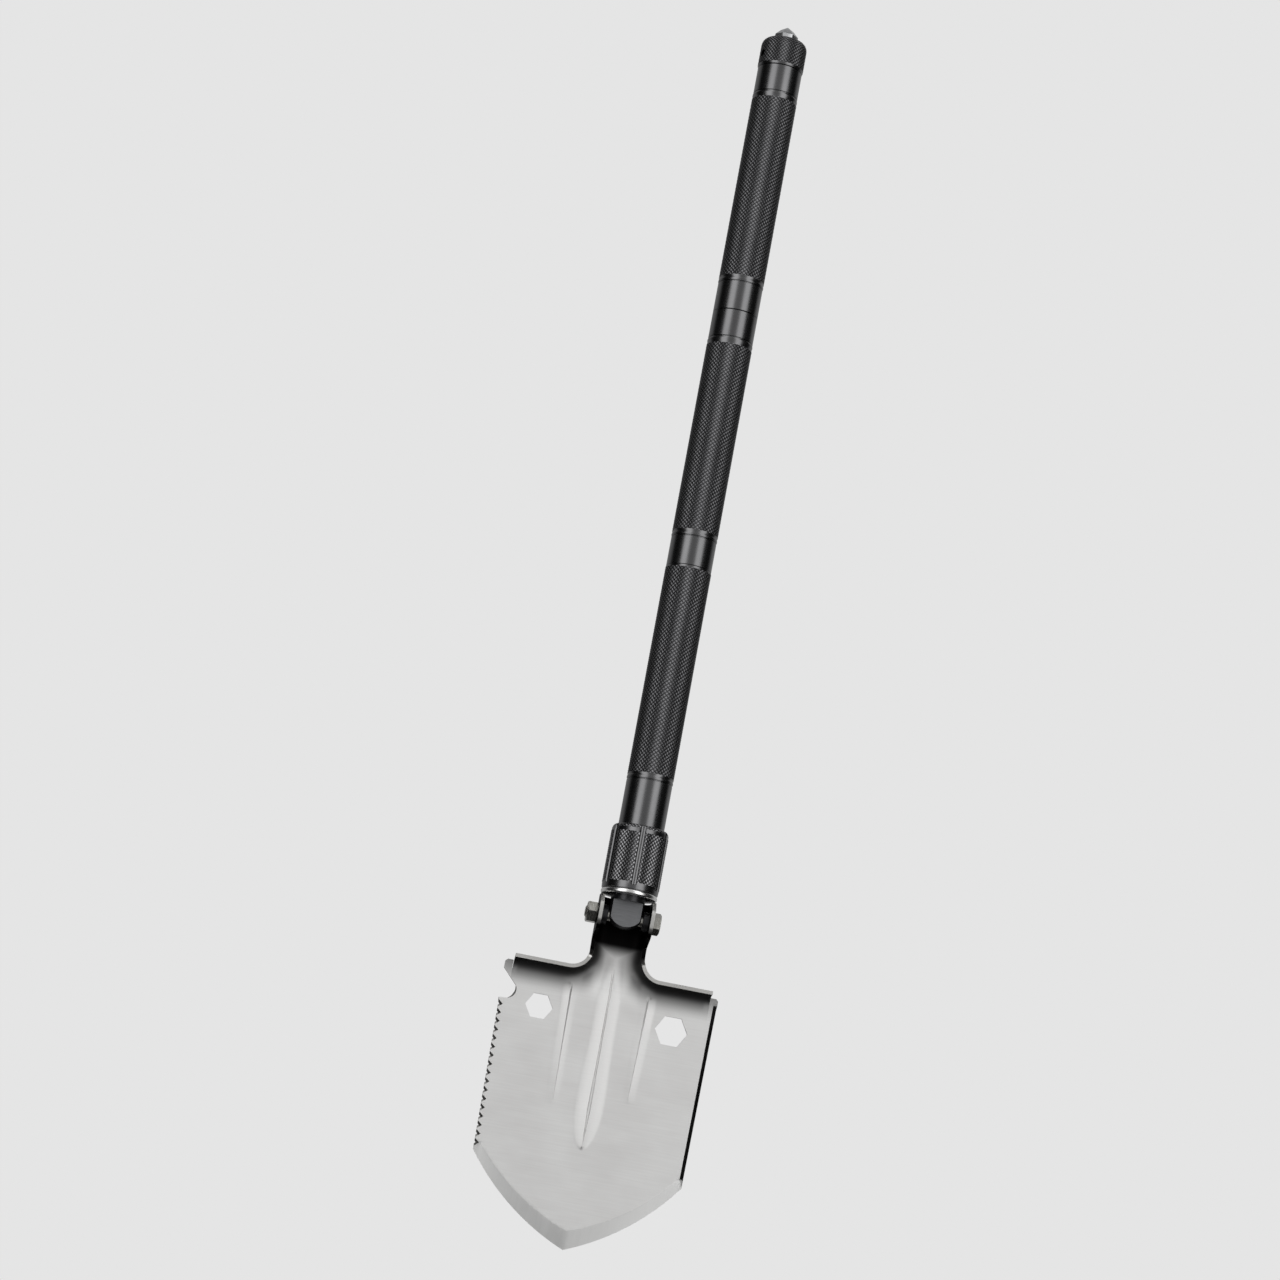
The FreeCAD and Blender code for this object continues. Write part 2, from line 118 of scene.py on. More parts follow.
def pattern(tree, size, detail=3.0, roughness=0.55):
    """Noise with features of the given size in mm along X, Y and Z of the piece."""
    place = add_node(tree, "ShaderNodeTexCoord").outputs["Object"]
    scale = [1 / (s * MM) for s in size]
    mapped = add_node(tree, "ShaderNodeMapping", {"Vector": place, "Scale": scale}).outputs["Vector"]
    values = {"Vector": mapped, "Scale": 1.0, "Detail": detail, "Roughness": roughness}
    return add_node(tree, "ShaderNodeTexNoise", values).outputs["Fac"]


def spread(tree, value, low, high, start=0.3, end=0.7):
    """Stretch a value from the range start to end, a pattern's usual one, to the range low to high."""
    inputs = {"Value": value, "From Min": start, "From Max": end, "To Min": low, "To Max": high}
    return add_node(tree, "ShaderNodeMapRange", inputs).outputs["Result"]


def tint(tree, share, first, second):
    """Colour between two colours, each an sRGB hex value or the output of a node."""
    ends = [c if isinstance(c, bpy.types.NodeSocket) else linear(c) for c in (first, second)]
    return add_node(tree, "ShaderNodeMix", {0: share, 6: ends[0], 7: ends[1]}, data_type="RGBA").outputs[2]


def grain_bump(tree, shader, height, distance, strength=1.0):
    """Raise the surface by a pattern, at most distance mm."""
    inputs = {"Height": height, "Distance": distance * MM, "Strength": strength}
    bump = add_node(tree, "ShaderNodeBump", inputs)
    tree.links.new(bump.outputs["Normal"], shader.inputs["Normal"])


def black_anodised(name, roughness, base, worn, valley_shade=None):
    """Aluminium with a dyed anodic film: black, satin, with faint rings left by the turning tool.

    A knurled part has a valley shade: painted shade that makes the valleys between its points darker than the
    points.
    """
    material, tree, shader = new_finish(name, Metallic=1.0, Roughness=roughness)
    cloud = pattern(tree, (14, 14, 40))
    rings = pattern(tree, (60, 60, 0.9), detail=2.0)
    colour = tint(tree, spread(tree, cloud, 0, 1), base, worn)
    if valley_shade:
        # painted shade: the crest attribute darkens the knurl's valleys to the valley shade
        crest = add_node(tree, "ShaderNodeAttribute", attribute_name="crest").outputs["Fac"]
        colour = tint(tree, crest, valley_shade, colour)
    tree.links.new(colour, shader.inputs["Base Color"])
    varied = spread(tree, rings, roughness - 0.01, roughness + 0.015)
    tree.links.new(varied, shader.inputs["Roughness"])
    grain_bump(tree, shader, rings, 0.001, 0.2)
    return material


tube_finish = black_anodised("black_anodised_aluminium", 0.25, "#686869", "#707071")
# the last colour is the painted shade in the knurl's valleys
grip_finish = black_anodised("black_anodised_knurling", 0.38, "#7e7e80", "#8a8a8c", "#1c1c1d")


def around(count):
    """Angles of the columns of a turned piece, starting at its right side."""
    return np.arange(count) * (2 * math.pi / count)


def turned(name, rows, angles, hollow=True):
    """Mesh from rows of (radius, height, cut, cross-cut) in mm, run round the Z axis.

    A cut is taken off the radius, one value for each column. Between cross-cut rows each face is split
    along its valleys. A radius of 0 closes the piece on its axis, and a hollow one joins its last row
    to its first. The crest of a point is 1 where a knurl would stand up and 0 where it would be cut.
    """
    count = len(angles)
    points, rings, crests = [], [], []
    for radius, height, cut, _ in rows:
        if radius == 0:
            rings.append([len(points)] * count)
            points.append((0, 0, height * MM))
            crests.append(0.0)
            continue
        crests.extend((np.arange(count) + len(rings) + 1) % 2)
        rings.append(list(range(len(points), len(points) + count)))
        r = (radius - cut * np.ones(count)) * MM
        points.extend(zip(r * np.cos(angles), r * np.sin(angles), [height * MM] * count))
    faces, cut_faces = [], []
    pairs = [(j, j + 1) for j in range(len(rows) - 1)] + ([(len(rows) - 1, 0)] if hollow else [])
    for j, k in pairs:
        crossed = rows[j][3] and rows[k][3]
        pointed = np.abs(rows[j][2] - rows[k][2]) * np.ones(count) > KNURL_LEAST
        for i in range(count):
            n = (i + 1) % count
            a, b, c, d = rings[j][i], rings[j][n], rings[k][n], rings[k][i]
            if a == b:
                faces.append((a, c, d))
            elif c == d:
                faces.append((a, b, c))
            elif crossed:
                faces += [(a, b, d), (b, c, d)] if (i + j) % 2 == 0 else [(a, b, c), (a, c, d)]
            else:
                faces.append((a, b, c, d))
            if crossed and (pointed[i] or pointed[n]):
                cut_faces += [len(faces) - 2, len(faces) - 1]
    mesh = bpy.data.meshes.new(name)
    mesh.from_pydata(points, [], faces)
    crest = mesh.attributes.new("crest", "FLOAT", "POINT")
    crest.data.foreach_set("value", np.array(crests, dtype=np.float32))
    knurled = np.zeros(len(faces), dtype=np.int32)
    knurled[cut_faces] = KNURLED
    mesh.polygons.foreach_set("material_index", knurled)
    return faceted(smoothed(place(name, mesh)))


def place(name, mesh):
    """Put a mesh in the scene as a new object."""
    piece = bpy.data.objects.new(name, mesh)
    bpy.context.scene.collection.objects.link(piece)
    return piece


def smoothed(piece, angle=28.0):
    """Smooth shading, with edges kept sharp where the surface turns by more than the angle."""
    piece.data.shade_smooth()
    piece.data.set_sharp_from_angle(angle=math.radians(angle))
    return piece


def faceted(piece):
    """Keep the sides of a knurl's diamonds flat."""
    kinds = np.zeros(len(piece.data.polygons), dtype=np.int32)
    piece.data.polygons.foreach_get("material_index", kinds)
    piece.data.polygons.foreach_set("use_smooth", kinds != KNURLED)
    return piece


def plain(*corners):
    """Rows with no cut from (radius, height) corners."""
    return [(radius, height, 0.0, False) for radius, height in corners]


def knurl(radius, low, high, pitch, depth, columns, before, mask=1.0):
    """Rows of a diamond knurl whose points reach the radius, with plain rows at both ends.

    The number of rows before it keeps its valleys on the edges that split the faces.
    """
    steps = 2 * round((high - low) / pitch)
    parity = np.arange(columns) + before
    rows = [(radius - depth, low, 0.0, False)]
    for j in range(1, steps):
        cut = depth * ((parity + j) % 2) * mask
        rows.append((radius, low + (high - low) * j / steps, cut, True))
    return rows + [(radius - depth, high, 0.0, False)]


def thread(radius, low, high, columns, depth=THREAD_DEPTH):
    """Rows of a screw thread, cut one way round by a triangle of one pitch. It may run up or down."""
    steps = round(abs(high - low) / THREAD_PITCH * THREAD_ROWS)
    turn = np.arange(columns) / columns
    rows = []
    for j in range(steps + 1):
        height = low + (high - low) * j / steps
        fade = min(1.0, THREAD_FADE * j / steps, THREAD_FADE * (steps - j) / steps)
        phase = (height / THREAD_PITCH - turn) % 1.0
        rows.append((radius, height, depth * fade * np.abs(2 * phase - 1), False))
    return rows


def grooved(height, grip_side):
    """Rows of a thin groove, with a polished bead between it and the grip."""
    groove = [
        (TUBE_R, height - GROOVE),
        (TUBE_R - GROOVE, height - GROOVE / 3),
        (TUBE_R - GROOVE, height + GROOVE / 3),
        (TUBE_R, height + GROOVE),
    ]
    start = height + grip_side * GROOVE
    bead = []
    for s in (0.2, 0.4, 0.6, 0.8, 1.0):
        bead.append((TUBE_R + BEAD * math.sin(math.pi * s), start + grip_side * BEAD_WIDTH * s))
    return plain(*sorted(groove + bead, key=lambda corner: corner[1]))


def tube_rows(foot, top, socket, grip_low, grip_high, grooves, columns):
    """Outside and bore of one tube as rows in mm, from its foot up and back down the bore.

    The lowest tube has one groove, the collar's thread at its foot and a grip up to its top.
    """
    lowest = len(grooves) == 1
    if lowest:
        rows = thread(COLLAR_THREAD_R, foot, foot + COLLAR_THREAD, columns, COLLAR_THREAD_DEPTH)
        rows += plain((TUBE_R, foot + COLLAR_THREAD))
    else:
        rows = plain((TUBE_R - EDGE, foot), (TUBE_R, foot + EDGE))
    rows += grooved(foot + grooves[0], 1)
    rows += plain((TUBE_R, foot + grip_low - GRIP_STEP))
    rows += knurl(GRIP_R, foot + grip_low, foot + grip_high, GRIP_PITCH, GRIP_DEPTH, columns, len(rows))
    if not lowest:
        rows += plain((TUBE_R, foot + grip_high + GRIP_STEP)) + grooved(foot + grooves[1], -1)
        rows += plain((TUBE_R, top - EDGE), (TUBE_R - EDGE, top))
    seat, floor = top - SEAL_SEAT_DEPTH, top - socket
    rows += plain((SEAL_SEAT_R, top), (SEAL_SEAT_R, seat), (SOCKET_R, seat))
    rows += thread(SOCKET_R, seat - SOCKET_LEAD, floor + SOCKET_RELIEF, columns, -THREAD_DEPTH)
    rows += plain((SOCKET_R, floor), (BORE_R, floor))
    if lowest:
        plug = foot + PLUG_DEPTH
        return rows + plain((BORE_R, plug), (PLUG_R, plug), (PLUG_R, foot))
    return rows + plain((BORE_R, foot))


TUBE_COLUMNS = 2 * round(2 * math.pi * GRIP_R / GRIP_PITCH)
for node, (socket, grip_low, grip_high, grooves) in TUBES.items():
    low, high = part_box(node)
    rows = tube_rows(low.z / MM, high.z / MM, socket, grip_low, grip_high, grooves, TUBE_COLUMNS)
    tube = turned(node + "_turned", rows, around(TUBE_COLUMNS))
    tube.data.materials.append(tube_finish)
    tube.data.materials.append(grip_finish)
    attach(tube, node.replace("tube", "section"))
    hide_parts(node)

# ------------------------------------------------------------------------------------------------
# Couplers. Solid aluminium plugs, turned and anodised black, pressed into the foot of the two
# upper tubes. The lower half has a 2 mm pitch thread with a groove at its root for the seal.
# ------------------------------------------------------------------------------------------------
SPIGOT = 22.0
SPIGOT_R = 13.4
SEAL_DROP = 1.3
SEAL_GROOVE_R = 12.2
SEAL_GROOVE_HALF = 1.1
SCREW_LEAD = 1.0  # chamfer at the tip of a spigot
SCREW_GAP = (0.2, 0.3)  # plain length below and above a spigot's thread
SCREW_COLUMNS = 128
PRESS_GAP = 0.02  # drawn between a pressed plug and its tube, so that their faces don't coincide
PRESS_EDGE = 0.5


def spigot(shoulder, length, columns):
    """Rows of a threaded spigot from its tip up to the root of its seal groove."""
    foot, seal = shoulder - length, shoulder - SEAL_DROP
    lead = foot + SCREW_LEAD
    rows = plain((0, foot), (SPIGOT_R - SCREW_LEAD, foot), (SPIGOT_R, lead))
    rows += thread(SPIGOT_R, lead + SCREW_GAP[0], seal - SEAL_GROOVE_HALF - SCREW_GAP[1], columns)
    rows += plain((SPIGOT_R, seal - SEAL_GROOVE_HALF), (SEAL_GROOVE_R, seal - SEAL_GROOVE_HALF))
    return rows + plain((SEAL_GROOVE_R, shoulder))


for node, tube_node, body in (
    ("middle_coupler", "middle_tube", "middle_section"),
    ("upper_coupler", "upper_tube", "upper_section"),
):
    shoulder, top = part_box(tube_node)[0].z / MM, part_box(node)[1].z / MM
    plug_r = BORE_R - PRESS_GAP
    rows = spigot(shoulder, SPIGOT, SCREW_COLUMNS)
    rows += plain((plug_r, shoulder), (plug_r, top - PRESS_EDGE), (BORE_R - PRESS_EDGE, top), (0, top))
    coupler = turned(node + "_turned", rows, around(SCREW_COLUMNS), hollow=False)
    coupler.data.materials.append(tube_finish)
    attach(coupler, body)
    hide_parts(node)

# ------------------------------------------------------------------------------------------------
# Seals. Moulded nitrile rings of 1.8 mm section, stretched into the groove at the root of each
# thread. They keep water out of the handle and stop the sections from working loose.
# ------------------------------------------------------------------------------------------------
SEAL_R = 13.2
SEAL_SECTION = 0.9
SEAL_STEPS = 20
SEAL_COLUMNS = 96


def nitrile():
    """Moulded nitrile rubber: soft black, dull, with a fine dusty bloom."""
    material, tree, shader = new_finish("nitrile_rubber", Roughness=0.6, IOR=1.52)
    bloom = pattern(tree, (1.5, 1.5, 1.5))
    tree.links.new(tint(tree, spread(tree, bloom, 0, 1), "#101011", "#232324"), shader.inputs["Base Color"])
    grain_bump(tree, shader, bloom, 0.02, 0.4)
    return material


seal_finish = nitrile()
for node in ("lower_seal", "upper_seal", "cap_seal"):
    low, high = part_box(node)
    height = (low.z + high.z) / 2 / MM
    steps = [2 * math.pi * s / SEAL_STEPS for s in range(SEAL_STEPS)]
    rows = plain(*[(SEAL_R + SEAL_SECTION * math.cos(a), height + SEAL_SECTION * math.sin(a)) for a in steps])
    ring = turned(node + "_moulded", rows, around(SEAL_COLUMNS))
    ring.data.materials.append(seal_finish)
    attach(ring, node)
    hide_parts(node)

# ------------------------------------------------------------------------------------------------
# End cap. A solid aluminium knob, knurled right over its rounded shoulder and anodised black. A
# cross hole takes a lanyard, and a short thread screws it into the top tube.
# ------------------------------------------------------------------------------------------------
CAP_SPIGOT = 12.0
CAP_SHOULDER = 5.0
CAP_COLUMNS = 80
CAP_FACE_R = 12.6  # flat top inside the rounded shoulder
CAP_DEPTH = 0.36
CAP_BEND_STEPS = 8
CAP_FOOT = ((0.9, 0.0), (0.5, 0.3))  # broken edge at the foot: in from the side, and up
CAP_KNURL_FOOT = 0.6  # height at which the knurl starts
CAP_GAP = 0.1  # between the cap and the tube that it is screwed to
TIP_BASE_R = 8.7
TIP_SEAT_R = 9.1  # dark relief round the foot of the point
TIP_SEAT_DEPTH = 0.6
LANYARD_R = 2.2
LANYARD_TURN = 22.0  # degrees that the hole's left end is turned toward the front
LANYARD_ABOVE = 9.05  # height of the lanyard hole above the cap's shoulder
CLEAR = 20.0  # half length of a cutter, past both sides of a turned piece


def cut_away(piece, cutter):
    """Take the cutter's shape off a piece for good, and remove the cutter."""
    change = piece.modifiers.new("cut", "BOOLEAN")
    change.object = cutter
    change.operation = "DIFFERENCE"
    change.solver = "EXACT"
    graph = bpy.context.evaluated_depsgraph_get()
    mesh = bpy.data.meshes.new_from_object(piece.evaluated_get(graph))
    piece.modifiers.clear()
    piece.data = mesh
    bpy.data.objects.remove(cutter)
    return smoothed(piece)


def along_x(piece, height):
    """Turn a piece made along Z so that it lies along X at a height in mm."""
    piece.data.transform(Matrix.Translation((0, 0, height * MM)) @ Matrix.Rotation(math.radians(90), 4, "Y"))
    return piece


def rod_along_x(name, radius, low, high, height, sides=48):
    """Plain cylinder along X, in mm, used for cutting."""
    rows = plain((0, low), (radius, low), (radius, high), (0, high))
    return along_x(turned(name, rows, around(sides), hollow=False), height)


def cap_rows(shoulder, top, columns):
    """Rows of the knob from its thread up, over the knurled shoulder to the seat of the point."""
    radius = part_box("end_cap")[1].x / MM
    rows = spigot(shoulder, CAP_SPIGOT, columns)
    rows += plain(*[(radius - inward, shoulder + up) for inward, up in CAP_FOOT])
    bend = top - CAP_SHOULDER
    pitch = 2 * 2 * math.pi * radius / columns
    rows += knurl(radius, shoulder + CAP_KNURL_FOOT, bend, pitch, CAP_DEPTH, columns, len(rows))[:-1]
    for s in range(CAP_BEND_STEPS + 1):
        a = math.radians(90 * s / CAP_BEND_STEPS)
        r = CAP_FACE_R + (radius - CAP_FACE_R) * math.cos(a)
        depth = CAP_DEPTH * min(1.0, (CAP_BEND_STEPS - s) / 3)
        cut = depth * ((np.arange(columns) + len(rows)) % 2)
        rows.append((r, bend + CAP_SHOULDER * math.sin(a), cut, s < CAP_BEND_STEPS))
    seat = top - TIP_SEAT_DEPTH
    return rows + plain((TIP_SEAT_R, top), (TIP_SEAT_R, seat), (0, seat))


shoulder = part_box("upper_tube")[1].z / MM + CAP_GAP
cap_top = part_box("end_cap")[1].z / MM
rows = cap_rows(shoulder, cap_top, CAP_COLUMNS)
cap = turned("end_cap_knurled", rows, around(CAP_COLUMNS), hollow=False)
cap.data.materials.append(tube_finish)
cap.data.materials.append(grip_finish)
drill = rod_along_x("lanyard_drill", LANYARD_R, -CLEAR, CLEAR, shoulder + LANYARD_ABOVE)
drill.data.transform(Matrix.Rotation(math.radians(LANYARD_TURN), 4, "Z"))
faceted(cut_away(cap, drill))
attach(cap, "end_cap")
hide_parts("end_cap")

# ------------------------------------------------------------------------------------------------
# Breaker point. A hardened steel stud ground to an eight-sided point of two slopes, polished, and
# screwed into the cap. It breaks glass and ice.
# ------------------------------------------------------------------------------------------------
TIP_SIDES = 8
TIP_TURN = 22.5
TIP_FOOT = 4.4  # height of the lower facets' foot above the cap
TIP_BREAK = 3.4  # how far below the apex the two slopes meet
TIP_BREAK_R = 4.9
TIP_SUNK = 0.5  # how far its foot goes into the seat
TIP_EDGE = 0.12  # rounding of the ground edges


def hardened_steel():
    """Hardened and polished tool steel: bright, sharp-edged, with faint grinding marks."""
    material, tree, shader = new_finish("hardened_polished_steel", Metallic=1.0, Roughness=0.3)
    marks = pattern(tree, (0.5, 0.5, 4.0))
    tree.links.new(tint(tree, spread(tree, marks, 0, 1), "#d0d1d3", "#e4e5e6"), shader.inputs["Base Color"])
    tree.links.new(spread(tree, marks, 0.26, 0.36), shader.inputs["Roughness"])
    grain_bump(tree, shader, marks, 0.01, 0.2)
    return material


def breaker_mesh(foot, apex):
    """Round foot, then eight lower and eight upper facets that meet in a point."""
    turn = math.radians(90 + TIP_TURN)
    rows = [(TIP_BASE_R, foot - TIP_SUNK), (TIP_BASE_R, foot + TIP_FOOT), (TIP_BREAK_R, apex - TIP_BREAK)]
    points = [(0, 0, (foot - TIP_SUNK) * MM)]
    for radius, height in rows:
        for i in range(TIP_SIDES):
            a = turn + 2 * math.pi * i / TIP_SIDES
            points.append((radius * MM * math.cos(a), radius * MM * math.sin(a), height * MM))
    points.append((0, 0, apex * MM))
    faces = []
    for i in range(TIP_SIDES):
        n = (i + 1) % TIP_SIDES
        faces.append((0, 1 + n, 1 + i))
        for ring in range(2):
            a, b = 1 + ring * TIP_SIDES, 1 + (ring + 1) * TIP_SIDES
            faces.append((a + i, a + n, b + n, b + i))
        faces.append((1 + 2 * TIP_SIDES + i, 1 + 2 * TIP_SIDES + n, len(points) - 1))
    mesh = bpy.data.meshes.new("breaker_tip_ground")
    mesh.from_pydata(points, [], faces)
    return mesh


def bevelled(piece, width):
    """Round every sharp edge of a piece by a width in mm, for good."""
    change = piece.modifiers.new("edge", "BEVEL")
    change.width = width * MM
    change.segments = 2
    change.limit_method = "ANGLE"
    change.angle_limit = math.radians(20.0)
    graph = bpy.context.evaluated_depsgraph_get()
    piece.data = bpy.data.meshes.new_from_object(piece.evaluated_get(graph))
    piece.modifiers.clear()
    return smoothed(piece, 15.0)


tip_mesh = breaker_mesh(cap_top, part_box("breaker_tip")[1].z / MM)
tip = bevelled(place("breaker_tip_ground", tip_mesh), TIP_EDGE)
tip.data.materials.append(hardened_steel())
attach(tip, "end_cap")
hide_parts("breaker_tip")

# ------------------------------------------------------------------------------------------------
# Joint shaft and cross pin. A blackened steel rod pinned into the foot of the lowest tube. Its
# domed foot is milled flat in front and drilled for the pivot bolt.
# ------------------------------------------------------------------------------------------------
ROD_R = 11.5
DOME_R = 13.0
DOME_ABOVE = 5.2  # centre of the dome above the pivot
DOME_STEPS = 16
FLAT_Y = -5.85
FLAT_TOP = 10.9  # above the pivot
WEAR = 0.6  # width of the bevel rubbed bright at the flat's edge
ROD_TOP = 22.5
ROD_END = 52.0  # top of the plug that the cross pin holds in the tube
PIVOT_HOLE_R = 4.0

pivot = (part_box("pivot_bolt")[0].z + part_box("pivot_bolt")[1].z) / 2 / MM


def blackened_steel():
    """Black-oxide steel: nearly black where turned, greyer and duller where milled flat."""
    material, tree, shader = new_finish("black_oxide_steel", Metallic=0.7, Roughness=0.3)
    speckle = pattern(tree, (0.8, 0.8, 0.8))
    tree.links.new(tint(tree, spread(tree, speckle, 0, 1), "#2e2e30", "#3b3b3d"), shader.inputs["Base Color"])
    tree.links.new(spread(tree, speckle, 0.25, 0.35), shader.inputs["Roughness"])
    grain_bump(tree, shader, speckle, 0.01, 0.3)
    return material


def milled_flat():
    """Black-oxide steel where the cutter left a dull grey face."""
    material, tree, shader = new_finish("black_oxide_milled_steel", Metallic=0.4, Roughness=0.62)
    lines = pattern(tree, (8.0, 8.0, 0.5))
    tree.links.new(tint(tree, spread(tree, lines, 0, 1), "#6d6e70", "#7b7c7e"), shader.inputs["Base Color"])
    grain_bump(tree, shader, lines, 0.02, 0.4)
    return material


def worn_steel():
    """The same steel rubbed bright where the oxide has gone from its edges."""
    material, tree, shader = new_finish("worn_steel_edge", Metallic=1.0, Roughness=0.34)
    rubs = pattern(tree, (1.5, 1.5, 1.5))
    tree.links.new(tint(tree, spread(tree, rubs, 0, 1), "#a2a2a1", "#e2e2e0"), shader.inputs["Base Color"])
    return material


def worn_edges(piece):
    """Give the milled flat its own finish and break its edge with a narrow worn bevel."""
    for face in piece.data.polygons:
        on_flat = abs(face.center.y / MM - FLAT_Y) < 0.01
        on_step = abs(face.center.z / MM - pivot - FLAT_TOP) < 0.01
        face.material_index = 1 if on_flat or on_step else 0
    flat_edges = piece.data.attributes.new("bevel_weight_edge", "FLOAT", "EDGE")
    faces_at = {}
    for face in piece.data.polygons:
        for key in face.edge_keys:
            faces_at.setdefault(key, []).append(face)
    for edge in piece.data.edges:
        beside = faces_at.get(edge.key, [])
        kinds = {face.material_index for face in beside}
        folded = len(beside) == 2 and beside[0].normal.angle(beside[1].normal) > math.radians(35)
        flat_edges.data[edge.index].value = 1.0 if 1 in kinds and folded else 0.0
    change = piece.modifiers.new("wear", "BEVEL")
    change.width = WEAR * MM
    change.segments = 1
    change.limit_method = "WEIGHT"
    change.material = 2
    change.use_clamp_overlap = True
    graph = bpy.context.evaluated_depsgraph_get()
    piece.data = bpy.data.meshes.new_from_object(piece.evaluated_get(graph))
    piece.modifiers.clear()
    return smoothed(piece)


def shaft_rows():
    """Rows of the rod from the bottom of its dome to the top of its plug, above the pivot."""
    dome = []
    rim = math.asin(ROD_R / DOME_R)
    for s in range(DOME_STEPS + 1):
        a = rim * s / DOME_STEPS
        dome.append((DOME_R * math.sin(a), pivot + DOME_ABOVE - DOME_R * math.cos(a)))
    plug_r = PLUG_R - PRESS_GAP
    plug = [(plug_r, ROD_TOP), (plug_r, ROD_END - PRESS_EDGE), (PLUG_R - PRESS_EDGE, ROD_END), (0, ROD_END)]
    return plain(*dome, *[(r, pivot + z) for r, z in [(ROD_R, ROD_TOP), *plug]])


def box_between(name, low, high):
    """Plain block between two corners in mm, used for cutting."""
    sides = [(a * MM, b * MM) for a, b in zip(low, high)]
    corners = [(x, y, z) for x in sides[0] for y in sides[1] for z in sides[2]]
    faces = [(0, 1, 3, 2), (4, 6, 7, 5), (0, 4, 5, 1), (2, 3, 7, 6), (0, 2, 6, 4), (1, 5, 7, 3)]
    mesh = bpy.data.meshes.new(name)
    mesh.from_pydata(corners, [], faces)
    return place(name, mesh)


shaft = turned("joint_shaft_turned", shaft_rows(), around(SCREW_COLUMNS), hollow=False)
mill = box_between("mill", (-CLEAR, -CLEAR, pivot - CLEAR), (CLEAR, FLAT_Y, pivot + FLAT_TOP))
cut_away(shaft, mill)
cut_away(shaft, rod_along_x("pivot_drill", PIVOT_HOLE_R, -CLEAR, CLEAR, pivot))
for finish in (blackened_steel(), milled_flat(), worn_steel()):
    shaft.data.materials.append(finish)
worn_edges(shaft)
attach(shaft, "lower_section")
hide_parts("joint_shaft")
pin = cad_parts["cross_pin"]
pin.data.materials.clear()
pin.data.materials.append(shaft.data.materials[0])

# ------------------------------------------------------------------------------------------------
# Thrust washer. A thick stainless ring with a rolled rim, polished. The collar presses it onto the
# flats of the blade's ears to lock the fold.
# ------------------------------------------------------------------------------------------------
WASHER_BORE_R = 11.8
WASHER_RIM = 1.1  # how far its rolled rim bulges
RIM_STEPS = 8
WASHER_COLUMNS = 160


def polished_stainless():
    """Polished stainless steel: mirror bright, with hairline turning marks."""
    material, tree, shader = new_finish("polished_stainless_steel", Metallic=1.0, Roughness=0.26)
    rings = pattern(tree, (20, 20, 0.5), detail=2.0)
    tree.links.new(tint(tree, spread(tree, rings, 0, 1), "#e6e6e5", "#f0f0ef"), shader.inputs["Base Color"])
    tree.links.new(spread(tree, rings, 0.22, 0.32), shader.inputs["Roughness"])
    return material


low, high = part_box("thrust_washer")
half, radius = (high.z - low.z) / 2 / MM, high.x / MM
middle = (high.z + low.z) / 2 / MM
rim = [math.radians(-90 + 180 * s / RIM_STEPS) for s in range(RIM_STEPS + 1)]
rows = plain((WASHER_BORE_R, middle - half))
rows += plain(*[(radius - WASHER_RIM + WASHER_RIM * math.cos(a), middle + half * math.sin(a)) for a in rim])
rows += plain((WASHER_BORE_R, middle + half))
washer = turned("thrust_washer_polished", rows, around(WASHER_COLUMNS))
washer.data.materials.append(polished_stainless())
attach(washer, "thrust_washer")
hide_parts("thrust_washer")

# ------------------------------------------------------------------------------------------------
# Lock collar. A long aluminium nut with a diamond knurl between six round-bottomed flutes, so that
# a gloved hand can turn it. Anodised black like the tubes.
# ------------------------------------------------------------------------------------------------
COLLAR_BORE_R = 15.0
COLLAR_TOP_BORE_R = 15.7
COLLAR_STEP = 10.5  # depth of the wider bore at the top
COLLAR_BAND = 3.2  # plain tapered band at the foot
COLLAR_FOOT = ((1.1, 0.0), (0.5, 0.5), (0.3, COLLAR_BAND - 0.4))  # its profile: in from the side, and up
COLLAR_TAPER = 3.6  # rounded top
COLLAR_TOP_R = 2.4  # how far the rounded top comes in
COLLAR_TOP_TURN = 75.0
COLLAR_TOP_STEPS = 4
COLLAR_EDGE = 0.4
COLLAR_PITCH = 2.8
COLLAR_DEPTH = 0.38
FLUTES = 6
FLUTE_R = 2.6  # radius of the flute's own curve
FLUTE_HALF = 2.0
FLUTE_FADE = 0.6  # share of a flute's depth that is lost over the rounded top
FLUTE_COLUMNS = 14
PANEL_COLUMNS = 12


def collar_columns(radius):
    """Column angles, fine across the flutes, with each column's flute depth and knurl share."""
    angles, flute, panel = [], [], []
    half_angle = FLUTE_HALF / radius
    sector = 2 * math.pi / FLUTES
    for f in range(FLUTES):
        centre = -math.pi / 2 + f * sector
        for c in range(FLUTE_COLUMNS):
            share = -1 + 2 * c / FLUTE_COLUMNS
            angles.append(centre + half_angle * share)
            rise = math.sqrt(FLUTE_R**2 - (FLUTE_HALF * share) ** 2)
            flute.append(rise - math.sqrt(FLUTE_R**2 - FLUTE_HALF**2))
            panel.append(0.0)
        width = sector - 2 * half_angle
        for c in range(PANEL_COLUMNS):
            angles.append(centre + half_angle + width * c / PANEL_COLUMNS)
            flute.append(0.0)
            panel.append(1.0 if 0 < c else 0.0)
    return np.array(angles), np.array(flute), np.array(panel)


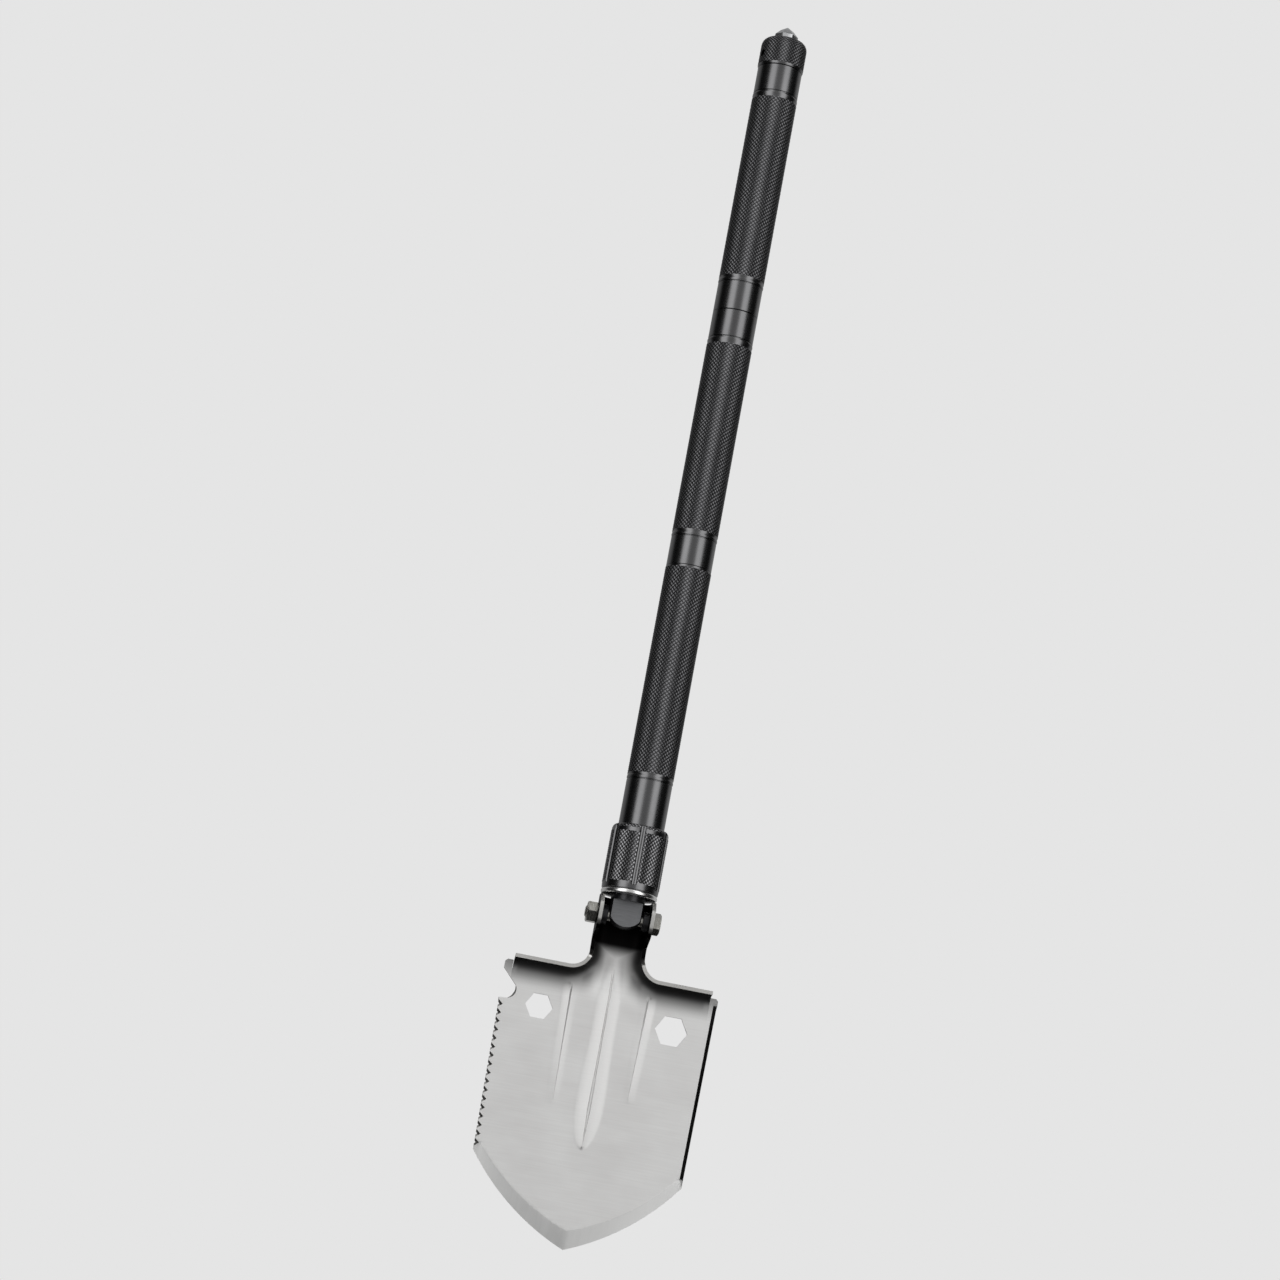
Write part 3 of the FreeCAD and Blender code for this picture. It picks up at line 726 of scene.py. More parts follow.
def collar_rows(low, high, radius, flute, panel):
    """Rows of the collar from its foot, up its knurled outside and down its bore."""
    rows = plain((COLLAR_BORE_R, low), *[(radius - inward, low + up) for inward, up in COLLAR_FOOT])
    span = (low + COLLAR_BAND, high - COLLAR_TAPER)
    wall = knurl(radius, *span, COLLAR_PITCH, COLLAR_DEPTH, len(flute), len(rows), panel)
    rows += [(r, z, cut + flute, cross) for r, z, cut, cross in wall]
    for s in range(1, COLLAR_TOP_STEPS + 1):
        share = s / COLLAR_TOP_STEPS
        a = math.radians(COLLAR_TOP_TURN * share)
        points = COLLAR_DEPTH * (1 - share) * ((np.arange(len(flute)) + len(rows)) % 2) * panel
        r = radius - COLLAR_DEPTH / 2 - COLLAR_TOP_R + COLLAR_TOP_R * math.cos(a)
        rise = COLLAR_TAPER * math.sin(a) / math.sin(math.radians(COLLAR_TOP_TURN))
        cut = points + flute * (1 - FLUTE_FADE * share)
        rows.append((r, high - COLLAR_TAPER + rise, cut, s < COLLAR_TOP_STEPS))
    step = high - COLLAR_STEP
    bore = COLLAR_TOP_BORE_R
    rows += plain((bore + COLLAR_EDGE, high), (bore, high - COLLAR_EDGE), (bore, step))
    return rows + thread(COLLAR_BORE_R, step - 0.2, low + 1.0, len(flute), -COLLAR_THREAD_DEPTH)


low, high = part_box("lock_collar")
angles, flute, panel = collar_columns(high.x / MM)
collar = turned("lock_collar_fluted", collar_rows(low.z / MM, high.z / MM, high.x / MM, flute, panel), angles)
collar.data.materials.append(tube_finish)
# the last colour is the painted shade in the knurl's valleys
collar_finish = black_anodised("black_anodised_collar_knurling", 0.27, "#a6a6a8", "#b2b2b4", "#19191a")
collar.data.materials.append(collar_finish)
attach(collar, "lock_collar")
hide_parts("lock_collar")

# ------------------------------------------------------------------------------------------------
# Blade. One sheet of 2.4 mm stainless steel, pressed with three ribs, its shoulders and neck bent
# forward into a foot rest and two ears. Brushed across, ground along the digging and knife edges.
# ------------------------------------------------------------------------------------------------
SHEET = 2.4
BLADE_Y = 8.0
WEB_Y = 14.5
TROUGH = (-58.0, -23.0)  # heights between which the sheet rises from the flat to the neck's back wall
TROUGH_SIDE = (7.0, 34.0)  # half widths between which it dies away
HOLLOW = 0.018  # curl of the neck's back wall, per mm
HOLLOW_TOP = (-15.0, -27.0)
HOLLOW_END = (-28.0, -60.0)
HOLLOW_SIDE = (9.0, 20.0)
LEAN = 0.02  # curl of the shoulders below their bend, per mm
LEAN_Z = -52.5
LEAN_START = (20.0, 34.0)
LEAN_END = (63.0, 66.5)
BEND_R = 6.8
BEND_STEPS = 12
LIP_STEPS = 4
EAR_INNER = 16.2
CAM_R = 14.0
CAM_FLAT = 13.4
CAM_ANGLES = (45.0, 90.0, 160.0)
WALL_FRONT_Y = 5.2
LIP_Y = -1.8
LIP_FALL = (-20.0, -33.0)  # heights between which the edge comes forward from the neck to the foot rest
BEND_START_Z = -45.7
NECK_ARC = (30.6, -24.5)
NECK_ARC_R = NECK_ARC[0] - (EAR_INNER - BEND_R)
FLANGE_HALF = 66.45
TAB_SLIT = 0.3
TOP_HALF = 72.0
TAB_TOP = -40.0
TAB_CORNER = 1.5
LOW_HALF = 69.75
LOW_Z = -166.6
POINT_Z = -220.0
BELLY = (31.0, -203.6)
HOOK = ((-72.0, -46.0), (-62.2, -56.2), (-61.6, -61.5), (-66.8, -65.5), (-72.0, -66.0))
TEETH = 17
TOOTH_PITCH = 5.75
TOOTH_DEPTH = 3.0
TOOTH_LAND = 0.7
GULLET_BACK = 0.9  # depth and half width of a gullet at the back of the sheet
HOOK_SLANT = 1.2
SAW_TOP = -67.5
HEXES = ((-44.6, -66.8, 16.0), (44.6, -66.8, 19.0))  # X, height and size across flats
KNIFE_WIDTH = 2.6
KNIFE_DEPTH = 1.9
KNIFE_TOP = -44.5
BEVEL = ((65.8, -162.0), (31.0, -192.6), (0.0, -207.6))  # inner line of the ground point, right half
BEVEL_DEPTH = 1.95
RIB_END = -154.0
RIB_NECK = 6.0  # half width of the middle rib in the neck
RIB_SWELLS = ((2.2, -26.0, -60.0), (1.6, -70.0, -125.0))  # what it gains, and between which heights
RIB_POINT = 30.0  # length of its spear point
RIB_HEIGHT = 0.27  # height as a share of its half width
RIB_RISE = (-18.0, -38.0)  # heights between which it rises from the neck
RIB_ROUND = 1.35  # 1 is a sharp roof, more is hollow-sided
CREASE_TOP = -33.0
CREASE_HALF = 0.7
CREASE_SWELL = (0.4, -95.0, -125.0)
CREASE_POINT = 25.0
CREASE_DEPTH = 0.55
CREASE_RISE = (-31.0, -41.0)
CREASE_FADE = 6.0  # length over which it dies out at the rib's end
CREASE_WALL = 0.5  # width of its sloping side
SIDE_RIBS = ((-1, -128.0), (1, -119.0))  # side and lower end
SIDE_RIB_TOP = -46.5
SIDE_RIB_X = (26.6, 2.4)  # its crest at the top, and how far that runs in toward the end
SIDE_RIB_HEIGHT = 1.35
SIDE_RIB_FLANKS = (5.2, 4.0)  # widths of the outer and inner flank
SIDE_RIB_ROUND = 1.3
SIDE_RIB_STEP = (1.3, 0.15)  # what the steep inner face loses toward the end, and keeps
FINE = 1.0  # mesh spacing over the ribs
COARSE = 2.0
RIB_AREA = ((-36.0, -160.0), (36.0, 14.0))
WHOLE_AREA = ((-74.0, -222.0), (74.0, 14.0))
AREA_GAP = (0.5, 0.8)  # kept free between the two spacings
LINE_GAP = 0.42  # kept free of loose points on both sides of an edge or crease
OUTLINE_STEPS = 40
GROUND_STEPS = 60
NECK_STEPS = 24
HOOK_STEPS = 14
EAR_FOOT = -16.2
NEAR = 0.02  # distance within which a point is taken for an outline's own
# the honed slot is painted much darker: a painted dark reflection on the knife edge and in the hook's throat
BRUSHED, GROUND, SHEARED, HONED_DARK_REFLECTION = range(4)  # material slots


def eased(value, start, end):
    """Share of the way from start to end, eased at both ends and held outside them."""
    t = np.clip((np.asarray(value, float) - start) / (end - start), 0, 1)
    return t * t * (3 - 2 * t)


def rib_half_width(z):
    """Half width of the middle rib: narrow in the neck, widest low down, then a spear point."""
    body = RIB_NECK + sum(gain * eased(z, start, end) for gain, start, end in RIB_SWELLS)
    point = np.clip((np.asarray(z, float) - RIB_END) / RIB_POINT, 0, 1)
    return body * np.sqrt(1 - (1 - point) ** 2)


def crease_half_width(z):
    """Half width of the crease along the middle rib's crest, a little wider low down."""
    gain, start, end = CREASE_SWELL
    body = CREASE_HALF + gain * eased(z, start, end)
    return body * np.clip((np.asarray(z, float) - RIB_END) / CREASE_POINT, 0.02, 1)


def middle_rib(x, z):
    """Forward height of the middle rib, with the crease pressed back into its crest."""
    width = np.maximum(rib_half_width(z), 0.01)
    crease = crease_half_width(z)
    height = RIB_HEIGHT * width * eased(z, *RIB_RISE)
    across = np.maximum(np.abs(x), crease)
    ridge = height * np.clip(1 - across / width, 0, 1) ** RIB_ROUND
    depth = CREASE_DEPTH * eased(z, *CREASE_RISE) * np.clip((z - RIB_END) / CREASE_FADE, 0, 1)
    return ridge - depth * np.clip((crease - np.abs(x)) / CREASE_WALL, 0, 1)


def side_rib_crest(side, z, end):
    """X of a side rib's crest at a height."""
    top_x, run_in = SIDE_RIB_X
    return side * (top_x - run_in * (SIDE_RIB_TOP - z) / (SIDE_RIB_TOP - end))


def side_rib_step(z, end):
    """Width of the steep inner face of a side rib, widest at its top."""
    share = np.clip((SIDE_RIB_TOP - z) / (SIDE_RIB_TOP - end), 0, 1)
    lost, kept = SIDE_RIB_STEP
    return lost * (1 - share) ** 1.5 + kept


def side_rib(x, z, side, end):
    """Forward height of a side rib: a broad outer flank, a steep step and a faint inner flank."""
    share = np.clip((SIDE_RIB_TOP - z) / (SIDE_RIB_TOP - end), 0, 1)
    spindle = eased(share, 0, 0.05) * np.sqrt(np.clip(1 - share, 0, 1))
    outward = (x - side_rib_crest(side, z, end)) * side
    outer, inner = SIDE_RIB_FLANKS
    height = SIDE_RIB_HEIGHT * spindle
    step = side_rib_step(z, end)
    drop = np.minimum(step * 0.8, 0.75 * height)
    outer_flank = height * np.clip(1 - outward / outer, 0, 1) ** SIDE_RIB_ROUND
    inner_flank = (height - drop) * np.clip(1 + (outward + step) / inner, 0, 1) ** SIDE_RIB_ROUND
    inside_crest = np.where(outward > -step, height + drop * outward / step, inner_flank)
    return np.where(outward >= 0, outer_flank, inside_crest)


def neck_hollow(x, z):
    """Forward curl of the neck's back wall toward its sides, which makes it a shallow gutter."""
    share = eased(z, *HOLLOW_TOP) * (1 - eased(z, *HOLLOW_END)) * (1 - eased(np.abs(x), *HOLLOW_SIDE))
    return HOLLOW * np.asarray(x, float) ** 2 * share


def shoulder_lean(x, z):
    """Forward curl of the sheet just below the foot rest, before the bend proper."""
    width = np.abs(np.asarray(x, float))
    share = eased(width, *LEAN_START) * (1 - eased(width, *LEAN_END))
    return LEAN * np.maximum(np.asarray(z, float) - LEAN_Z, 0) ** 2 * share


def sheet_y(x, z):
    """Y of the sheet's front face before grinding, over the flat and the neck's back wall."""
    rise = (WEB_Y - BLADE_Y) * eased(z, *TROUGH) * (1 - eased(np.abs(x), *TROUGH_SIDE))
    ribs = middle_rib(x, z) + sum(side_rib(x, z, side, end) for side, end in SIDE_RIBS)
    return BLADE_Y + rise - ribs - neck_hollow(x, z) - shoulder_lean(x, z)


def edge_half(z):
    """Half width of the blade between its shoulders and its lower corners."""
    return TOP_HALF + (LOW_HALF - TOP_HALF) * (TAB_TOP - z) / (TAB_TOP - LOW_Z)


def arc(first, through, last, steps):
    """Points of the circle through three points, from the first to the last."""
    (ax, ay), (bx, by), (cx, cy) = first, through, last
    d = 2 * (ax * (by - cy) + bx * (cy - ay) + cx * (ay - by))
    ux = ((ax**2 + ay**2) * (by - cy) + (bx**2 + by**2) * (cy - ay) + (cx**2 + cy**2) * (ay - by)) / d
    uy = ((ax**2 + ay**2) * (cx - bx) + (bx**2 + by**2) * (ax - cx) + (cx**2 + cy**2) * (bx - ax)) / d
    radius = math.hypot(ax - ux, ay - uy)
    start, middle, end = [math.atan2(y - uy, x - ux) for x, y in (first, through, last)]
    turn = (end - start) % (2 * math.pi)
    if (middle - start) % (2 * math.pi) > turn:
        turn -= 2 * math.pi
    angles = [start + turn * s / steps for s in range(steps + 1)]
    return [(ux + radius * math.cos(a), uy + radius * math.sin(a)) for a in angles]


def line(first, last, spacing):
    """Evenly spaced points from the first to the last."""
    steps = max(1, round(math.dist(first, last) / spacing))
    start, span = np.array(first), np.array(last) - np.array(first)
    return [tuple(start + span * s / steps) for s in range(steps + 1)]


def bend_start(side):
    """Points of the line where the sheet starts to bend forward, from the ear's top to the shoulder."""
    neck_x = EAR_INNER - BEND_R
    heights = [CAM_R * math.sin(math.radians(a)) for a in range(73, -63, -5)]
    heights = [CAM_FLAT] + [h for h in heights if h < CAM_FLAT - 0.2]
    heights += list(np.arange(heights[-1] - 1.0, NECK_ARC[1] + 0.6, -1.0))
    points = [(neck_x, h) for h in heights]
    centre_x, centre_z = NECK_ARC
    for s in range(NECK_STEPS + 1):
        a = math.radians(180 + 90 * s / NECK_STEPS)
        points.append((centre_x + NECK_ARC_R * math.cos(a), centre_z + NECK_ARC_R * math.sin(a)))
    points += line((centre_x, BEND_START_Z), (FLANGE_HALF, BEND_START_Z), 1.6)[1:]
    return [(side * x, z) for x, z in points]


def saw_and_hook():
    """Left edge from its lower corner up to the top of the wire hook."""
    points = []
    for i in reversed(range(TEETH)):
        high = SAW_TOP - i * TOOTH_PITCH
        low = high - TOOTH_PITCH + TOOTH_LAND
        middle = (high + low) / 2
        points += [
            (-edge_half(low), low),
            (-edge_half(middle) + TOOTH_DEPTH, middle),
            (-edge_half(high), high),
        ]
    mouth, throat, bottom, end, lip = HOOK
    return points + [lip] + arc(end, bottom, throat, HOOK_STEPS) + [mouth]


def blade_outline():
    """Edge of the flat part of the sheet, anticlockwise from the right ear's foot round to the left."""
    tab = [
        (FLANGE_HALF + TAB_SLIT, BEND_START_Z),
        (FLANGE_HALF + TAB_SLIT, TAB_TOP),
        (TOP_HALF - TAB_CORNER, TAB_TOP),
        (TOP_HALF, TAB_TOP - TAB_CORNER),
    ]
    knife = line((edge_half(KNIFE_TOP), KNIFE_TOP), (LOW_HALF, LOW_Z), 2.5)
    digging = arc((LOW_HALF, LOW_Z), BELLY, (0, POINT_Z), OUTLINE_STEPS)
    digging += [(-x, z) for x, z in reversed(digging[:-1])]
    left_tab = [(-x, z) for x, z in reversed(tab)]
    top = line((-(EAR_INNER - BEND_R), CAM_FLAT), (EAR_INNER - BEND_R, CAM_FLAT), 1.5)[1:-1]
    clockwise = bend_start(1) + tab + knife + digging[1:] + saw_and_hook() + left_tab
    return clockwise + list(reversed(bend_start(-1))) + top


def hexagon(x, z, across):
    """Corners of one wrench hole."""
    corner = across / math.sqrt(3)
    turns = [math.radians(a) for a in range(0, 360, 60)]
    return [(x + corner * math.cos(a), z + corner * math.sin(a)) for a in turns]


def inside(points, polygon):
    """Which points lie in a polygon."""
    x, y = points[:, 0], points[:, 1]
    found = np.zeros(len(points), bool)
    for (ax, ay), (bx, by) in zip(polygon, polygon[1:] + polygon[:1]):
        if ay != by:
            crosses = ((ay > y) != (by > y)) & (x < (bx - ax) * (y - ay) / (by - ay) + ax)
            found ^= crosses
    return found


def distance_to(points, polyline):
    """Shortest distance from each point to a polyline."""
    nearest = np.full(len(points), 1e9)
    for a, b in zip(polyline, polyline[1:]):
        a, b = np.array(a), np.array(b)
        along = np.clip(((points - a) @ (b - a)) / max((b - a) @ (b - a), 1e-12), 0, 1)
        nearest = np.minimum(nearest, np.linalg.norm(points - a - along[:, None] * (b - a), axis=1))
    return nearest


def lattice(low, high, spacing):
    """Staggered rows of points over a rectangle."""
    points = []
    for j, z in enumerate(np.arange(low[1], high[1], spacing * 0.87)):
        for x in np.arange(low[0] + spacing / 2 * (j % 2), high[0], spacing):
            points.append((x, z))
    return np.array(points)


def crease_lines():
    """Lines that the mesh follows: ground edges, the middle crease and the side ribs' steps."""
    bevel = arc(*BEVEL, OUTLINE_STEPS)
    knife = [(edge_half(z) - KNIFE_WIDTH, z) for z in np.linspace(KNIFE_TOP - 0.6, -160.5, 46)]
    lines = [bevel + [(-x, z) for x, z in reversed(bevel[:-1])], knife]
    heights = np.linspace(CREASE_TOP, RIB_END + 0.6, 60)
    for inset in (0.0, CREASE_WALL):
        for side in (-1, 1):
            lines.append([(side * max(crease_half_width(z) - inset, 0.08), z) for z in heights])
    for side, end in SIDE_RIBS:
        heights = np.linspace(SIDE_RIB_TOP - 0.5, end + 3, 34)
        lines.append([(side_rib_crest(side, z, end), z) for z in heights])
        lines.append([(side_rib_crest(side, z, end) - side * side_rib_step(z, end), z) for z in heights])
    return lines


def flat_mesh():
    """Points and triangles of the flat part of the sheet, in X and height."""
    outline = blade_outline()
    holes = [hexagon(*h) for h in HEXES]
    creases = crease_lines()
    loops = [outline + outline[:1]] + [h + h[:1] for h in holes]
    whole = lattice(*WHOLE_AREA, COARSE)
    (_, rib_low), (rib_half, _) = RIB_AREA
    over_ribs = (np.abs(whole[:, 0]) < rib_half + AREA_GAP[0]) & (whole[:, 1] > rib_low - AREA_GAP[1])
    points = np.vstack([lattice(*RIB_AREA, FINE), whole[~over_ribs]])
    points = points[inside(points, outline)]
    for polyline in loops + creases:
        points = points[distance_to(points, polyline) > LINE_GAP]
    vertices, edges = [], []
    for polyline in loops:
        first = len(vertices)
        count = len(polyline) - 1
        vertices += polyline[:-1]
        edges += [(first + i, first + (i + 1) % count) for i in range(count)]
    for polyline in creases:
        first = len(vertices)
        vertices += polyline
        edges += [(first + i, first + i + 1) for i in range(len(polyline) - 1)]
    vertices += [tuple(p) for p in points]
    found = delaunay_2d_cdt([Vector(v) for v in vertices], edges, [], 0, 1e-5)
    flat, triangles = np.array([tuple(v) for v in found[0]]), np.array(found[2])
    middles = flat[triangles].mean(axis=1)
    keep = inside(middles, outline)
    for hole in holes:
        keep &= ~inside(middles, hole)
    return flat, triangles[keep]


def grinding(x, z):
    """Depth taken off the front face by the knife edge and the digging edge."""
    knife = np.clip((np.abs(x) - edge_half(z) + KNIFE_WIDTH) / KNIFE_WIDTH, 0, 1) * KNIFE_DEPTH
    knife = np.where((x > 0) & (z < KNIFE_TOP), knife, 0)
    line_x, line_z = np.array(arc(*BEVEL, GROUND_STEPS)[::-1]).T
    inner = np.interp(np.abs(x), line_x, line_z, right=LOW_Z + 6)
    edge_x, edge_z = np.array(arc((LOW_HALF, LOW_Z), BELLY, (0, POINT_Z), GROUND_STEPS)[::-1]).T
    outer = np.interp(np.abs(x), edge_x, edge_z)
    point = np.clip((inner - z) / np.maximum(inner - outer, 0.5), 0, 1) * BEVEL_DEPTH
    return np.maximum(knife, point)


def lip_y(z):
    """Y of the bent edge: the cam of the ear, the neck's side wall and the foot rest."""
    if z < EAR_FOOT:
        return WALL_FRONT_Y + (LIP_Y - WALL_FRONT_Y) * float(eased(z, *LIP_FALL))
    front = -math.sqrt(max(CAM_R**2 - z**2, 0))
    for angle in CAM_ANGLES:
        a = math.radians(angle)
        front = max(front, (z * math.cos(a) - CAM_FLAT) / math.sin(a))
    return min(front, WALL_FRONT_Y)


def slope_at(x, z, out):
    """How steeply the sheet already comes forward in a direction."""
    step = 0.05
    ahead = float(sheet_y(x + out[0] * step, z + out[1] * step))
    return max((float(sheet_y(x - out[0] * step, z - out[1] * step)) - ahead) / (2 * step), 0.0)


def bent_strip(side):
    """Front and back points of the bent shoulder, neck wall and ear, one row for each station.

    Each row is a quarter of an ellipse, entered at the sheet's own slope, then the straight lip.
    """
    stations = bend_start(side)
    front, back = [], []
    for i, (x, z) in enumerate(stations):
        before, after = stations[max(i - 1, 0)], stations[min(i + 1, len(stations) - 1)]
        along = np.array(after) - np.array(before)
        along /= np.linalg.norm(along)
        out = np.array((-along[1], along[0])) * side
        if abs(z - BEND_START_Z) < 1e-6:
            out = np.array((0.0, 1.0))
        if abs(abs(x) - (EAR_INNER - BEND_R)) < 1e-6:
            out = np.array((float(side), 0.0))
        start_y, lip = float(sheet_y(x, z)), lip_y(z)
        slope = slope_at(x, z, out)
        reach = min(BEND_R * (1 + slope), start_y - lip - 0.3)
        share = min(BEND_R * slope / reach, 0.4)
        first = math.asin(share / (1 - share))
        wide, deep = BEND_R / (1 - math.sin(first)), reach / math.cos(first)
        front_row, back_row = [], []
        for s in range(1, BEND_STEPS + 1):
            a = first + (math.pi / 2 - first) * s / BEND_STEPS
            across = wide * (math.sin(a) - math.sin(first))
            y = start_y - deep * (math.cos(first) - math.cos(a))
            normal = np.array((deep * math.sin(a), wide * math.cos(a)))
            normal /= np.linalg.norm(normal)
            front_row.append((x + out[0] * across, y, z + out[1] * across))
            across += SHEET * normal[0]
            back_row.append((x + out[0] * across, y + SHEET * normal[1], z + out[1] * across))
        for row in (front_row, back_row):
            end_x, end_y, end_z = row[-1]
            row += [(end_x, end_y + (lip - end_y) * s / LIP_STEPS, end_z) for s in range(1, LIP_STEPS + 1)]
        front.append(front_row)
        back.append(back_row)
    return stations, np.array(front), np.array(back)


def oblique_cuts(back):
    """Move the back outline so that the saw's gullets and the hook's throat are cut at a slant."""
    for i in range(TEETH):
        high = SAW_TOP - i * TOOTH_PITCH
        low = high - TOOTH_PITCH + TOOTH_LAND
        middle = (high + low) / 2
        for z, x, new_z, new_x in (
            (middle, -edge_half(middle) + TOOTH_DEPTH, middle, -edge_half(middle) + GULLET_BACK),
            (high, -edge_half(high), middle + GULLET_BACK, -edge_half(middle)),
            (low, -edge_half(low), middle - GULLET_BACK, -edge_half(middle)),
        ):
            found = np.hypot(back[:, 0] - x, back[:, 2] - z) < NEAR
            back[found, 0], back[found, 2] = new_x, new_z
    _, throat, bottom, end, _ = HOOK
    curve = arc(end, bottom, throat, HOOK_STEPS)
    centre = (np.array(curve[0]) + np.array(curve[-1])) / 2
    for s, (x, z) in enumerate(curve):
        found = np.hypot(back[:, 0] - x, back[:, 2] - z) < NEAR
        toward = centre - np.array((x, z))
        toward /= np.linalg.norm(toward)
        shift = HOOK_SLANT * math.sin(math.pi * s / (len(curve) - 1)) ** 0.5
        back[found, 0] += toward[0] * shift
        back[found, 2] += toward[1] * shift


def blade_sheet():
    """Front points, back points and faces of the whole sheet, bends included."""
    flat, triangles = flat_mesh()
    x, z = flat.T
    y = sheet_y(x, z)
    front = np.column_stack([x, y + grinding(x, z), z])
    back = np.column_stack([x, y + SHEET, z])
    oblique_cuts(back)
    faces = [tuple(int(v) for v in t) for t in triangles]
    for side in (-1, 1):
        stations, strip_front, strip_back = bent_strip(side)
        columns = strip_front.shape[1]
        first = len(front)
        front = np.vstack([front, strip_front.reshape(-1, 3)])
        back = np.vstack([back, strip_back.reshape(-1, 3)])
        roots = [int(np.argmin(np.hypot(flat[:, 0] - sx, flat[:, 1] - sz))) for sx, sz in stations]
        grid = [[roots[i]] + [first + i * columns + c for c in range(columns)] for i in range(len(stations))]
        for upper, lower in zip(grid, grid[1:]):
            for c in range(columns):
                quad = (upper[c], lower[c], lower[c + 1], upper[c + 1])
                faces.append(quad if side > 0 else quad[::-1])
    return front, back, faces


def rim_of(faces):
    """Edges that only one face uses, in that face's order."""
    seen = {}
    for face in faces:
        for a, b in zip(face, face[1:] + face[:1]):
            seen[(a, b)] = True
    return [(a, b) for a, b in seen if (b, a) not in seen]


def steel_finish(name, pale, dark, streak, roughness, painted_shade=None):
    """Stainless steel with a brushed or ground grain, and in places painted shade that darkens it nearly to
    black.

    The grain is drawn coarser than the real 0.1 mm, so that it shows at a distance.
    """
    material, tree, shader = new_finish(name, Metallic=1.0, Roughness=roughness)
    cloud = pattern(tree, (35, 35, 22), detail=2.0)
    brushed = pattern(tree, streak, detail=4.0)
    shares = {0: spread(tree, cloud, 0, 0.6), 1: spread(tree, brushed, 0, 0.4)}
    mixed = add_node(tree, "ShaderNodeMath", shares, operation="ADD").outputs[0]
    colour = tint(tree, mixed, dark, pale)
    rough = spread(tree, mixed, roughness - 0.05, roughness + 0.05, 0, 1)
    if painted_shade:
        where = add_node(tree, "ShaderNodeTexCoord").outputs["Object"]
        axes = add_node(tree, "ShaderNodeSeparateXYZ", {"Vector": where}).outputs
        # painted shade: the mask darkens the steel toward near black
        colour = tint(tree, painted_shade(tree, axes), colour, "#100f0f")
    tree.links.new(colour, shader.inputs["Base Color"])
    tree.links.new(rough, shader.inputs["Roughness"])
    grain_bump(tree, shader, brushed, 0.02, 0.25)
    return material


def height_share(tree, height, start, end):
    """Eased share of the way from one height to another, both in mm above the pivot."""
    limits = {"Value": height, "From Min": (pivot + start) * MM, "From Max": (pivot + end) * MM}
    return add_node(tree, "ShaderNodeMapRange", limits, interpolation_type="SMOOTHSTEP").outputs["Result"]


def from_bend(tree, axes):
    """Distance from the line where the sheet starts to bend forward, worked out as from a rounded corner."""
    centre_x, centre_z = NECK_ARC
    wide = add_node(tree, "ShaderNodeMath", {0: axes["X"]}, operation="ABSOLUTE").outputs[0]
    inward = add_node(tree, "ShaderNodeMath", {0: wide, 1: centre_x * MM}, operation="SUBTRACT").outputs[0]
    inward = add_node(tree, "ShaderNodeMath", {0: inward, 1: 0.0}, operation="MINIMUM").outputs[0]
    corner_z = (pivot + centre_z) * MM
    below = add_node(tree, "ShaderNodeMath", {0: axes["Z"], 1: corner_z}, operation="SUBTRACT").outputs[0]
    below = add_node(tree, "ShaderNodeMath", {0: below, 1: 0.0}, operation="MINIMUM").outputs[0]
    both = add_node(tree, "ShaderNodeCombineXYZ", {"X": inward, "Y": below}).outputs[0]
    reach = add_node(tree, "ShaderNodeVectorMath", {0: both}, operation="LENGTH").outputs["Value"]
    return add_node(tree, "ShaderNodeMath", {0: reach, 1: NECK_ARC_R * MM}, operation="SUBTRACT").outputs[0]


def painted_neck_and_bend_shade(tree, axes):
    """Painted shade: nearly black inside the neck and ears, and darker in the bends, standing in for the
    shadow and dark reflections there.
    """
    limits = {"Value": from_bend(tree, axes), "From Min": 12.0 * MM, "From Max": -6.0 * MM, "To Max": 0.93}
    bends = add_node(tree, "ShaderNodeMapRange", limits, interpolation_type="SMOOTHSTEP").outputs["Result"]
    wide = add_node(tree, "ShaderNodeMath", {0: axes["X"]}, operation="ABSOLUTE").outputs[0]
    on_tab = spread(tree, wide, 1.0, 0.6, FLANGE_HALF * MM, (FLANGE_HALF + TAB_SLIT) * MM)
    bends = add_node(tree, "ShaderNodeMath", {0: bends, 1: on_tab}, operation="MULTIPLY").outputs[0]
    neck = height_share(tree, axes["Z"], -28.0, -16.0)
    return add_node(tree, "ShaderNodeMath", {0: bends, 1: neck}, operation="MAXIMUM").outputs[0]


def painted_edge_dark_reflection(tree, axes):
    """Painted dark reflection along the neck's cut edge, below the bright edges of the ears."""
    lower, upper = height_share(tree, axes["Z"], -27.0, -23.0), height_share(tree, axes["Z"], -7.0, -9.0)
    return add_node(tree, "ShaderNodeMath", {0: lower, 1: upper}, operation="MULTIPLY").outputs[0]


def build_blade():
    """Mesh of the blade: front, back and rim, each face with its finish."""
    front, back, faces = blade_sheet()
    count = len(front)
    points = np.vstack([front, back])
    points[:, 2] += pivot
    outward = [f[::-1] for f in faces]
    hidden = [tuple(v + count for v in f) for f in faces]
    rim = [(b, a, a + count, b + count) for a, b in rim_of(outward)]
    mesh = bpy.data.meshes.new("blade_pressed")
    mesh.from_pydata((points * MM).tolist(), [], outward + hidden + rim)
    kinds = []
    for face in outward:
        x, _, z = front[list(face)].mean(axis=0)
        ground = z <= KNIFE_TOP and grinding(x, z) >= 0.05
        on_knife = ground and x > edge_half(z) - KNIFE_WIDTH - 0.1 and z > BEVEL[0][1] + 1
        kinds.append(BRUSHED if not ground else HONED_DARK_REFLECTION if on_knife else GROUND)
    kinds += [BRUSHED] * len(hidden)
    for _, a, b, _ in rim:
        x, _, z = (points[a] + points[b]) / 2
        on_top = z > pivot + CAM_FLAT - 0.1
        in_hook = x < HOOK[2][0] + 0.5 and HOOK[4][1] < z - pivot < HOOK[0][1]
        hook_dark_reflection = in_hook and abs(x) < edge_half(z - pivot) - 0.2
        kinds.append(BRUSHED if on_top else HONED_DARK_REFLECTION if hook_dark_reflection else SHEARED)
    mesh.polygons.foreach_set("material_index", kinds)
    return mesh


